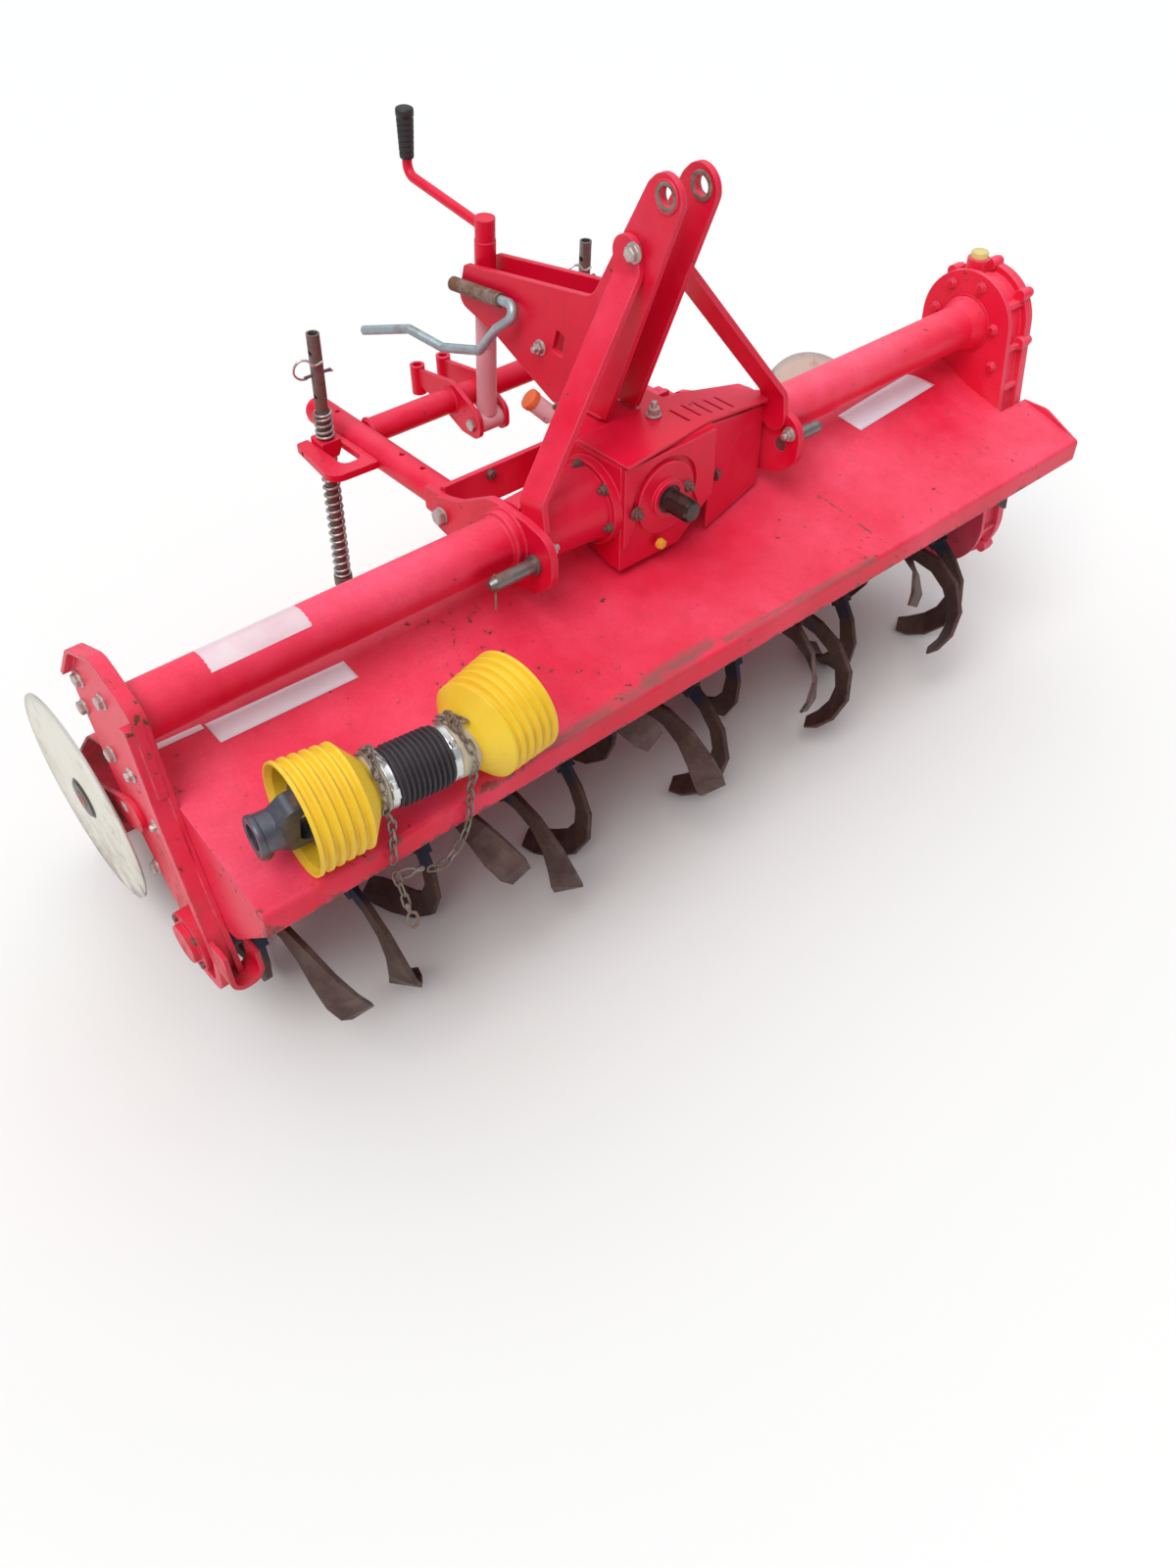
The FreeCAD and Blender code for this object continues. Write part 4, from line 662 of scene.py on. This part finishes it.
# Bolts and nuts. After the way out, a bolt's numbers are: across flats, height, washer's radius and how far
# its thread stands out.
def frame_bolts():
    plain = Piece("frame_bolts", "frame", zinc, "bright_steel")
    dull = Piece("gearbox_bolts", "frame", painted_bolt, "bright_steel")
    red_ones = Piece("chain_case_bolts", "frame", red, "red_paint")
    # side plate: y, z, across flats
    for y, z, across in ((153, -36, 17), (178, -99, 17), (83, -29, 17), (128, -150, 17), (70, -148, 13),
                         (134, -251, 17), (110, -361, 17), (38, -220, 10)):
        plain.bolt((PLATE_X, y, z), LEFT, across)
    # gearbox: flange bolts round each trumpet, retainer bolts and the bolt on the top cover
    for k in range(6):
        place = around(BEAM, 57, 17 + 60 * k)
        dull.bolt((LEFT_FLANGE_X, *place), LEFT, 13, 6, 9.5, 5)
        dull.bolt((RIGHT_FLANGE_X, *place), RIGHT, 13, 6, 9.5, 5)
    for x, z in ((-77, -3), (27, 3)):
        dull.bolt((x, RETAINER_Y, z), FRONT, 15, 7, 10.5, 6)
    plain.bolt((30, 10, GEARBOX_TOP), UP, 17, 11, 12, 9)
    for side in (-1, 1):
        # the braces' bolts through the mast, the bolt near the windows and the brace's foot
        out = RIGHT * side
        plain.bolt((side * BRACE_X, -18, 349), out, 19, 9, 14, 0 if side < 0 else 8)
        plain.bolt((side * MAST_X, 192, 145), out, 17, 8, 12, 7)
        plain.bolt((side * (HITCH_X - 12.2), -76, 10), -out, 17, 8, 12, 7)
    # chain case: heads behind the near flange and on the cover's lobes
    for y, z in ((-19, 70), (-60, 7), (-74, -58), (42, 60), (66, 8), (70, -58)):
        red_ones.bolt((BEAM_RIGHT, y, z), LEFT, 15, 6, 10.5)
    for axis, radius, angles in ((BEAM, 95, (-12, 40, 90, 140, 192)), (ROTOR, 110, (212, 262, 312))):
        for angle in angles:
            red_ones.bolt((COVER_X - 1.5, *around(axis, radius, angle)), RIGHT, 13, 4.6, 0)
    # end bearing's cap
    for k in range(4):
        dull.bolt((PLATE_X - 28, *around(ROTOR, 38, 45 + 90 * k)), LEFT, 10, 4, 0)
    plain.done()
    dull.done()
    red_ones.done()


def rotor_bolts():
    """Each blade is held in its socket by a bolt through both."""
    piece = Piece("blade_bolts", "rotor", greasy, "worn_steel")
    for i in range(STATIONS):
        x = FIRST_STATION + (LAST_STATION - FIRST_STATION) * i / (STATIONS - 1)
        for j in range(BLADES):
            place = around(ROTOR, 48, 20 + 120 * j + 10 * ((5 * i) % 12))
            piece.bolt((x - 9, *place), LEFT, 17, 7, 0)
            piece.bolt((x + 9, *place), RIGHT, 17, 7, 0, 6)
    piece.done()


def hinge_bolts():
    """The depth frame's hinge bolts, with nuts inside."""
    for name, side in (("left_hinge_bolt", -1), ("right_hinge_bolt", 1)):
        piece = Piece(name + "_hex", "depth_frame", zinc, "bright_steel")
        out = RIGHT * side
        piece.turned((side * 224, *FRAME_HINGE), out, [(0, 0), (0, 8), (46, 8), (46, 0)])
        piece.bolt((side * (HITCH_X + 0.2), *FRAME_HINGE), out, 24, 10, 14.5)
        piece.bolt((side * 236.4, *FRAME_HINGE), -out, 24, 9, 14.5, 2)
        piece.done(stands_for=(name,))


def flat_bar_bolt():
    """A bolt left in the flat bar's hole."""
    piece = Piece("flat_bar_bolt", "depth_frame", painted_bolt, "bright_steel")
    piece.bolt((-148, 184.8, -23), FRONT, 15, 6, 9.5)
    piece.done()


def clevis_bolt():
    piece = Piece("jack_clevis_bolt", "depth_frame", zinc, "bright_steel")
    piece.turned((-33, *JACK_PIN), RIGHT, [(0, 0), (0, 9), (66, 9), (66, 0)])
    piece.bolt((-32, *JACK_PIN), LEFT, 20, 6, 0)
    piece.bolt((32, *JACK_PIN), RIGHT, 20, 6, 0)
    piece.done(stands_for=("jack_lower_pin",))


def disc_nuts():
    """The left nut is thin: its axle ends close outside the disc."""
    piece = Piece("left_disc_nut", "left_side_disc", rod_steel, "bright_steel")
    piece.turned((LEFT_NUT_X, *DISCS), LEFT, [(-1, 0), (-1, 15), (0.7, 15), (0.95, 14), (0.95, 0)], 6)
    piece.done()
    piece = Piece("right_disc_nut", "right_side_disc", rod_steel, "bright_steel")
    piece.bolt((RIGHT_NUT_X, *DISCS), RIGHT, 30, 11, 20, 3)
    piece.done()


# Spring rods: coils and clips
ROD_X = 276.0
ROD_FOOT = Vector((0, 487, -446))
ROD_EYE = Vector((0, 459, -42))
ROD_WAY = (ROD_EYE - ROD_FOOT).normalized()
ROD_TOP = ROD_FOOT + ROD_WAY * ((152 - ROD_FOOT.z) / ROD_WAY.z)
SEAT = 140.2     # of the lower spring, from the rod's foot
SWIVEL = 15.2    # from its middle to the springs on either side


def coil(piece, foot, length, radius, wire, turns):
    """A compression spring with a closed turn at each end. The wire is given as its radius."""
    u, v, w = axes_for(ROD_WAY)
    steps = int(turns * 22)
    closed_rise = 2 * wire * 0.98
    open_rise = (length - 5 * wire) / (turns - 2)
    points = []
    for i in range(steps + 1):
        t = turns * i / steps
        rise = wire + (min(t, 1.0) + max(0.0, t - (turns - 1))) * closed_rise
        rise += max(0.0, min(t, turns - 1) - 1) * open_rise
        points.append(foot + w * rise + spoke(u, v, 2 * math.pi * t, radius))
    piece.sweep(points, wire)


def rod_clip(name, middle):
    """A hairpin clip: its straight leg goes through the rod, its wavy leg holds round it."""
    clip = Piece(name, "spring_rods", bright_band, "bright_steel")
    # across the rod, along the rod
    shape = ((27, -3), (12, 0), (0, 0), (-14, 0), (-24, -2), (-34, 2), (-41, 12), (-40, 25), (-31, 33),
             (-20, 31), (-14, 23), (-6, 21), (4, 24))
    points = []
    for k, (across, along) in enumerate(shape):
        lift = 12.6 * max(0.0, min(1.0, (k - 6) / 4.0))
        points.append(middle + RIGHT * across + ROD_WAY * along + FRONT * lift)
    clip.sweep(smooth_path(points), 2.0)
    clip.done(60)


def spring_rods():
    for side, name in ((-1, "left"), (1, "right")):
        x = RIGHT * (side * ROD_X)
        piece = Piece(name + "_coils", "spring_rods", spring_wire, "spring_steel")
        lower = ROD_FOOT + ROD_WAY * SEAT
        lower_end = ROD_EYE - ROD_WAY * SWIVEL
        coil(piece, x + lower, (lower_end - lower).length, 13.4, 2.3, 17.25)
        coil(piece, x + ROD_EYE + ROD_WAY * SWIVEL, 46.5, 13.6, 2.4, 5.0)
        piece.done(60, (name + "_springs",))
        rod_clip(name + "_rod_clip", x + ROD_TOP - ROD_WAY * 67)


# Drive line: it lies askew on the hood's slope, and its right end is turned back
SLOPE = math.atan2(55.0, 207.0)
OFF_HOOD = Vector((0, -math.sin(SLOPE), math.cos(SLOPE)))


def line_way(degrees):
    """The way on the slope at an angle from straight right towards the hood's top."""
    a = math.radians(degrees)
    return Vector((math.cos(a), math.sin(a) * math.cos(SLOPE), math.sin(a) * math.sin(SLOPE)))


LINE_FOOT = Vector((-756.0, -207.0, -76.15))
LINE_WAY = line_way(-5.5)
LINE_FRONT = LINE_WAY.cross(OFF_HOOD)
RIGHT_WAY = line_way(9.0)


def on_line(along):
    """A place on the line's axis, given from its left cone's wide end."""
    return LINE_FOOT + LINE_WAY * along


BEND_PLACE = on_line(224.5)


def bellows():
    piece = Piece("bellows", "frame", soft_rubber, "black_rubber")
    folds, first, last = 11, 126.0, 206.0
    trough = 36.0
    pitch = (last - first) / folds
    profile = [(105.5, 32.6), (115.3, 32.6), (115.3, 36.8), (125, 36.8)]
    for k in range(folds):
        start = first + k * pitch
        crest = 41.6 if k not in (0, folds - 1) else 40.0
        profile += [(start + share * pitch, radius)
                    for share, radius in ((0.15, trough), (0.42, crest), (0.62, crest), (0.9, trough))]
    profile += [(206.5, 36.8), (214.7, 36.8), (214.7, 26), (232, 26), (232, 21), (105.5, 21)]
    piece.turned(LINE_FOOT, LINE_WAY, profile, 56, closed=True)
    piece.done(50, ("driveline_bellows",))


def neck_sleeves():
    """The right sleeve bends with the shaft."""
    piece = Piece("neck_sleeves", "frame", sleeve, "yellow_plastic")
    profile = [(102, 36.2), (102, 38.2), (104, 39.4), (113, 39.4), (115, 38.2), (115, 36.2)]
    piece.turned(LINE_FOOT, LINE_WAY, profile, 48, closed=True)
    path = [on_line(216), on_line(219), BEND_PLACE, BEND_PLACE + RIGHT_WAY * 5, BEND_PLACE + RIGHT_WAY * 12]
    piece.sweep(path, [37.0, 38.6, 39.2, 39.0, 37.6], 48)
    piece.done()


def band_clamps():
    """Each band has a screw's housing, given by its angle from straight off the hood."""
    piece = Piece("band_clamps", "frame", bright_band, "bright_steel")
    profile = [(0, 36.6), (0, 38.2), (1.2, 38.8), (2.2, 38.0), (8, 38.0), (9, 38.8), (10, 38.2), (10, 36.6)]
    for start, screw in ((115.6, 62), (205.6, 38)):
        piece.turned(on_line(start), LINE_WAY, profile, 56, closed=True)
        a = math.radians(screw)
        out = spoke(OFF_HOOD, LINE_FRONT, a)
        side = OFF_HOOD * math.sin(a) - LINE_FRONT * math.cos(a)
        place = on_line(start + 5) + out * 38
        corners = ((-8, -4.6), (6, -4.6), (6, 4.6), (-8, 4.6))
        piece.slab([place + side * s + LINE_WAY * w - out for s, w in corners], out * 5)
        piece.turned(place + side * 5, side, [(0, 0), (0, 3.2), (9, 3.2), (9.6, 2.4), (9.6, 0)], 6)
        piece.turned(place + side * 12, side, [(0, 0), (0, 4.2), (3.4, 4.2), (4, 3.4), (4, 0)], 14)
    piece.done()


def joint_details():
    """The bearing caps of the cross joint, and a rim on its hub."""
    piece = Piece("joint_details", "frame", dark_steel, "bright_steel")
    profile = [(0, 0), (0, 12.5), (6, 12.5), (7, 11.5), (7, 9.5), (6, 8.5), (6, 0)]
    for way in (LINE_FRONT, -LINE_FRONT, OFF_HOOD, -OFF_HOOD):
        piece.turned(on_line(28) + way * 38, way, profile, 24)
    rim = [(0, 23), (0, 26.6), (1.5, 27.6), (7, 27.6), (8.5, 26.6), (8.5, 23)]
    piece.turned(on_line(-50.3), LINE_WAY, rim, 40, closed=True)
    piece.done()


def locking_pin():
    """The pin under the joint's hub."""
    piece = Piece("locking_pin", "frame", rusty, "worn_steel")
    down = (-OFF_HOOD + LINE_FRONT * 0.15).normalized()
    profile = [(0, 0), (0, 9.5), (6, 9.5), (7, 7.5), (9, 7.5), (9, 10), (16, 10.4), (19, 9), (21, 5), (21, 0)]
    piece.turned(on_line(-38) + down * 22, down, profile, 24)
    piece.done()


# Guard chains
LINK_WIDTH = 13.0
LINK_WIRE = 3.2


def link(piece, place, way, side, length):
    """One oval chain link about a place."""
    half = (length - LINK_WIDTH) / 2
    r = (LINK_WIDTH - LINK_WIRE) / 2
    points = []
    for k in range(14):
        a = 2 * math.pi * k / 14
        stretch = half if math.cos(a) > 0 else -half
        points.append(place + way * (r * math.cos(a) + stretch) + side * (r * math.sin(a)))
    piece.sweep(points, LINK_WIRE / 2, 6, True)


def chain(piece, points, pitch=16.5):
    """Oval links along a line, each turned a quarter from the one before."""
    for k, (place, way) in enumerate(along_path(smooth_path(points, 10), pitch)):
        flat = (FRONT - way * FRONT.dot(way)).normalized()
        side = flat if k % 2 else way.cross(flat)
        lean = random.uniform(-0.25, 0.25)
        side = spoke(side, way.cross(side), lean).normalized()
        link(piece, place, way, side, pitch + 2 * LINK_WIRE)


def round_neck(place, way, start, end, drift, radius=42.0, steps=9, lift=0.0):
    """Points round the shaft, between two angles in degrees from straight off the hood to the front."""
    front = way.cross(OFF_HOOD)
    points = []
    for k in range(steps + 1):
        share = k / steps
        a = math.radians(start + (end - start) * share)
        points.append(place + way * (drift * share) + spoke(OFF_HOOD, front, a, radius) + OFF_HOOD * lift)
    return points


def guard_chains():
    piece = Piece("guard_chains", "frame", chain_steel, "worn_steel")
    left_neck = on_line(108)
    # the left chain goes round its neck and down over the lip, the right one swings across to meet it
    left_tail = ((-652, -257, -112), (-652, -254, -135), (-652, -249.5, -168), (-655, -250, -196))
    right_tail = ((-535, -262, -118), (-532, -255, -142), (-531, -250, -165), (-534, -250, -190),
                  (-549, -251, -219), (-569, -251, -238), (-588, -251, -245), (-612, -251, -233))
    chain(piece, [*round_neck(left_neck, LINE_WAY, -62, 92, -4), *left_tail])
    chain(piece, [*round_neck(BEND_PLACE + RIGHT_WAY * 3, RIGHT_WAY, -62, 92, -8), *right_tail])
    # spare links over the top of each neck
    for place, way in ((left_neck, LINE_WAY), (BEND_PLACE, RIGHT_WAY)):
        chain(piece, round_neck(place + way * 6, way, -30, 26, -14, 46, 4, 2), 11)
        chain(piece, round_neck(place + way * 4, way, -52, 2, 9, 45, 3, 2), 11)
    # the end with its hook
    chain(piece, [(-657, -252, -206), (-657, -263, -224), (-658, -272, -244)])
    piece.done(60)


def snap_hooks():
    piece = Piece("snap_hooks", "frame", chain_steel, "worn_steel")
    for place, way, length in (((-634, -251, -221), (-40, 1, 14), 44.0),
                               ((-659, -282, -262), (0, -8, -18), 38.0)):
        place = Vector(place)
        way = Vector(way).normalized()
        side = way.cross(FRONT).normalized()
        half = length / 2
        profile = [(0, 0), (0, 2.4), (2, 4.2), (6, 4.4), (8, 3.2), (15, 2.6), (15, 0)]
        piece.turned(place - way * half, way, profile, 14)
        shape = ((13 - half, 0), (17 - half, -5), (0, -7), (half - 9, -7.5), (half - 2, -2), (half - 3, 5),
                 (half - 10, 7), (0, 6), (15 - half, 2))
        piece.sweep(smooth_path([place + way * u + side * v for u, v in shape]), 2.2)
    piece.done(60)


# A grip and caps that stand for plain solids
GRIP_LEAN = 0.0789


def grip():
    """A rubber grip with seven rings, thicker towards its top."""
    piece = Piece("grip", "crank", rubber, "black_rubber")
    low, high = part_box("crank_grip")
    way = Vector((0, -GRIP_LEAN, 0.9969))
    foot = Vector((0, (low[1] + high[1]) * 500 + SHIFT_Y + GRIP_LEAN * 38, low[2] * 1000 - BEAM_Z + 1.2))
    profile = [(0, 0), (0, 10.2), (1, 11.2)]
    for k in range(7):
        start = 4 + k * 8.2
        r = 11.6 + 0.33 * k
        profile += [(start, r), (start + 5.6, r), (start + 6.6, r - 0.7), (start + 7.4, r - 0.7)]
    profile += [(62, 13.7), (63, 14.3), (71, 14.4), (73.5, 13.4), (75, 10.5), (75.3, 0)]
    piece.turned(foot, way, profile, 40)
    piece.done(50, ("crank_grip",))


def ribbed_cap(name, node, foot, way, height, radius, material):
    cap = Piece(name, "frame", material, "yellow_plastic")
    u, v, w = axes_for(way)
    count = 72
    rings = []
    # height above the foot, share of the radius, share of the flutes' depth
    for along, share, flute in ((0.3, 0.80, 0), (0.3, 0.97, 1), (height * 0.72, 0.99, 1),
                                (height * 0.86, 0.93, 0.4), (height * 0.93, 0.80, 0),
                                (height * 0.93, 0.62, 0), (height, 0.52, 0)):
        centre = Vector(foot) + w * along
        depths = [(0.8 if i % 4 in (0, 1) else 0.0) * flute for i in range(count)]
        rings.append([cap.vert(centre + spoke(u, v, 2 * math.pi * i / count, radius * share - depth))
                      for i, depth in enumerate(depths)])
    cap.join_all(rings, False)
    cap.bm.faces.new(rings[0])
    cap.bm.faces.new(rings[-1])
    cap.done(50, (node,))


def oil_caps():
    ribbed_cap("oil_cap", "oil_filler_cap", (-121, 106, 119), (-23, 11, 25), 12.0, 16.0, orange_cap)
    ribbed_cap("chain_case_cap", "filler_plug", (835, 18, 105), UP, 13.0, 15.5, pale_cap)


def gearbox_front():
    """The raised panel with an arch cut round the bearing retainer, and the level plug."""
    panel = Piece("gearbox_front_panel", "frame", red, "red_paint")
    front, proud = -62.0, 6.0
    arch = []
    for k in range(25):
        a = math.radians(205 - 225 * k / 24)
        arch.append((-16 + 66 * math.cos(a), 4 + 60 * math.sin(a)))
    outline = [(-97, -60), (-97, 73), (86, 73), (86, -35), (62, -48), *arch[::-1], (-84, -40)]
    panel.slab([(x, front - proud, z) for x, z in outline], REAR * (proud + 0.5))
    panel.done()
    plug = Piece("level_plug", "frame", amber, "yellow_plastic")
    plug.bolt((-25, -70, -76), FRONT, 15, 6, 8.6)
    plug.done()


def lower_pin_clip():
    """A bent wire through the left lower pin."""
    clip = Piece("lower_pin_clip", "frame", rusty, "worn_steel")
    tip = Vector((-HITCH_X - 72, -60, -14))
    bends = ((0, 0, 15), (0, 0, 0), (0, 0, -14), (-3, -4, -26), (-7, -8, -36))
    clip.sweep(smooth_path([tip + Vector(bend) for bend in bends]), 1.6)
    clip.done(60)


def slotted_link():
    """A link with a slot, beside the oil filler."""
    piece = Piece("slotted_link", "frame", rusty, "worn_steel")
    up = Vector((-0.25, 0.15, 0.95)).normalized()
    side = Vector((0.85, -0.45, 0.28)).normalized()
    depth = up.cross(side).normalized() * 4
    middle = Vector((-96, 84, 62)) + up * 26 + side * 16
    rings = []
    for radius, shift in ((11, 0), (11, 1), (5, 1), (5, 0)):
        ring = []
        for k in range(24):
            a = 2 * math.pi * k / 24
            stretch = 14 if math.sin(a) > 0 else -14
            place = side * (radius * math.cos(a)) + up * (radius * math.sin(a) + stretch)
            ring.append(piece.vert(middle + place + depth * shift))
        rings.append(ring)
    piece.join_all(rings, True)
    piece.done()


def ear_bushings():
    """Worn bushings welded in the mast's ears."""
    piece = Piece("ear_bushings", "frame", rusty, "worn_steel")
    profile = [(-1, 12.9), (2.2, 12.9), (2.8, 13.6), (2.8, 17.6), (1.8, 18.8), (-1, 18.8)]
    for side in (-1, 1):
        for x, out in ((MAST_X, RIGHT), (MAST_X - MAST_THICKNESS, LEFT)):
            piece.turned((side * x, *MAST_EARS), out * side, profile, 40, closed=True)
    piece.done()
    beads = Piece("ear_welds", "frame", red, "red_paint")
    for side in (-1, 1):
        beads.ring_weld((side * (MAST_X + 0.8), *MAST_EARS), 19.6, 2.0, RIGHT * side)
    beads.done(60)


def welds():
    """Beads where plates and tubes meet."""
    beads = Piece("frame_welds", "frame", red, "red_paint")
    for side in (-1, 1):
        beads.ring_weld((side * (HITCH_X + 1.5), *BEAM), 44.6, 3.4)
        beads.ring_weld((side * (HITCH_X + 15), *BEAM), 42.0, 2.4)
    beads.ring_weld((BEAM_LEFT + 1, *BEAM), 38.6, 3.6)
    beads.ring_weld((BEAM_RIGHT - 1, *BEAM), 50.0, 3.0)
    # mast plates on the gearbox
    for side in (-1, 1):
        beads.weld([(side * (MAST_X + 0.4), y, GEARBOX_TOP - 0.4) for y in (52, 96)], 3.0)
    beads.done(60)
    moving = Piece("depth_frame_welds", "depth_frame", red, "red_paint")
    for side in (-1, 1):
        moving.ring_weld((side * 197.4, *CROSSBAR), 21.8, 2.6)
        for x in (23.4, 32.6):
            moving.ring_weld((side * x, *CROSSBAR), 22.0, 2.2)
        moving.weld([(side * 248, y, -36.5) for y in (358, 430)], 2.4)
    moving.done(60)


# Labels and tape
LABEL_COLUMNS, LABEL_ROWS, LABEL_LIFT = 24, 6, 0.35


def sheet(name, places, columns, material, thickness=0.0):
    """A thin sheet from rows of places."""
    faces = []
    for k in range(len(places) - columns - 1):
        if (k + 1) % (columns + 1):
            faces.append((k, k + 1, k + columns + 2, k + columns + 1))
    mesh = bpy.data.meshes.new(name)
    mesh.from_pydata(places, [], faces)
    mesh.polygons.foreach_set("use_smooth", [True] * len(faces))
    mesh.materials.append(material)
    obj = add_object(name, mesh)
    if thickness:
        solid = obj.modifiers.new("thickness", "SOLIDIFY")
        solid.thickness = thickness
        solid.offset = -1.0
    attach(obj, "frame")


def hood_label(name, tree, corners):
    """A label dropped onto the hood. Its corners run round it."""
    a, b, c, d = [at(*p, -80) for p in corners]
    places = []
    for j in range(LABEL_ROWS + 1):
        for i in range(LABEL_COLUMNS + 1):
            s, t = i / LABEL_COLUMNS, j / LABEL_ROWS
            place = a.lerp(b, s).lerp(d.lerp(c, s), t)
            hit, normal, index, distance = tree.ray_cast(place + UP * 0.2, -UP, 0.6)
            if normal.z < 0:
                normal = -normal
            places.append(hit + normal * LABEL_LIFT / 1000)
    sheet(name, places, LABEL_COLUMNS, label, 0.0003)


def hood_labels():
    mesh = nodes["hood"].data
    tree = BVHTree.FromPolygons([v.co.copy() for v in mesh.vertices],
                                [list(p.vertices) for p in mesh.polygons])
    hood_label("left_label", tree, ((-748, 21), (-540, 15), (-536, -13), (-744, -9)))
    hood_label("left_strip", tree, ((-818, 27), (-752, 24), (-751, 16), (-817, 18)))
    hood_label("right_label", tree, ((492, 19), (704, 35), (736, -8), (512, -21)))


def beam_tape():
    """Tape round the beam's left tube."""
    columns, rows, radius = 24, 14, 38.45
    places = []
    for j in range(rows + 1):
        a = math.radians(-40 + 84 * j / rows)
        for i in range(columns + 1):
            x = -737 + 142 * i / columns + 1.2 * math.sin(3.1 * j)
            places.append(at(x, -radius * math.sin(a), radius * math.cos(a)))
    sheet("beam_tape", places, columns, tape)


# Floor and light
def lay_floor():
    half = 14.0
    mesh = bpy.data.meshes.new("floor")
    corners = [(-half, -half, 0), (half, -half, 0), (half, half, 0), (-half, half, 0)]
    mesh.from_pydata(corners, [], [(0, 1, 2, 3)])
    floor = add_object("floor", mesh)
    g = Graph("pale_floor")
    g.set("Base Color", (0.80, 0.80, 0.79))
    g.set("Roughness", 0.9)
    mesh.materials.append(g.mat)


def studio():
    """A pale sky gives the light, and the camera sees plain white behind the object."""
    world = bpy.data.worlds.new("studio")
    bpy.context.scene.world = world
    world.use_nodes = True
    tree = world.node_tree
    tree.nodes.clear()
    out = tree.nodes.new("ShaderNodeOutputWorld")
    path = tree.nodes.new("ShaderNodeLightPath")
    plain = tree.nodes.new("ShaderNodeMath")
    plain.operation = "MAXIMUM"
    mix = tree.nodes.new("ShaderNodeMixShader")
    tree.links.new(path.outputs["Is Camera Ray"], plain.inputs[0])
    tree.links.new(path.outputs["Is Transmission Ray"], plain.inputs[1])
    tree.links.new(plain.outputs[0], mix.inputs[0])
    for i, colour, strength in ((1, (0.93, 0.96, 1.0), 0.42), (2, (1.0, 1.0, 1.0), 1.0)):
        background = tree.nodes.new("ShaderNodeBackground")
        background.inputs[0].default_value = (*colour, 1.0)
        background.inputs[1].default_value = strength
        tree.links.new(background.outputs[0], mix.inputs[i])
    tree.links.new(mix.outputs[0], out.inputs[0])


def lamps():
    for name, place, angle, power, colour in (("key", (-2.4, -1.1, 3.9), 38.0, 1.75, (1.0, 0.985, 0.96)),
                                              ("top", (0.7, 0.9, 4.0), 100.0, 1.35, (0.97, 0.985, 1.0))):
        data = bpy.data.lights.new(name, "SUN")
        data.angle = math.radians(angle)
        data.energy = power
        data.color = colour
        lamp = add_object(name, data)
        lamp.location = place
        lamp.rotation_euler = (-Vector(place)).to_track_quat("-Z", "Y").to_euler()


frame_bolts()
rotor_bolts()
hinge_bolts()
flat_bar_bolt()
clevis_bolt()
disc_nuts()
spring_rods()
bellows()
neck_sleeves()
band_clamps()
joint_details()
locking_pin()
guard_chains()
snap_hooks()
grip()
oil_caps()
gearbox_front()
lower_pin_clip()
slotted_link()
ear_bushings()
welds()
hood_labels()
beam_tape()
lay_floor()
studio()
lamps()
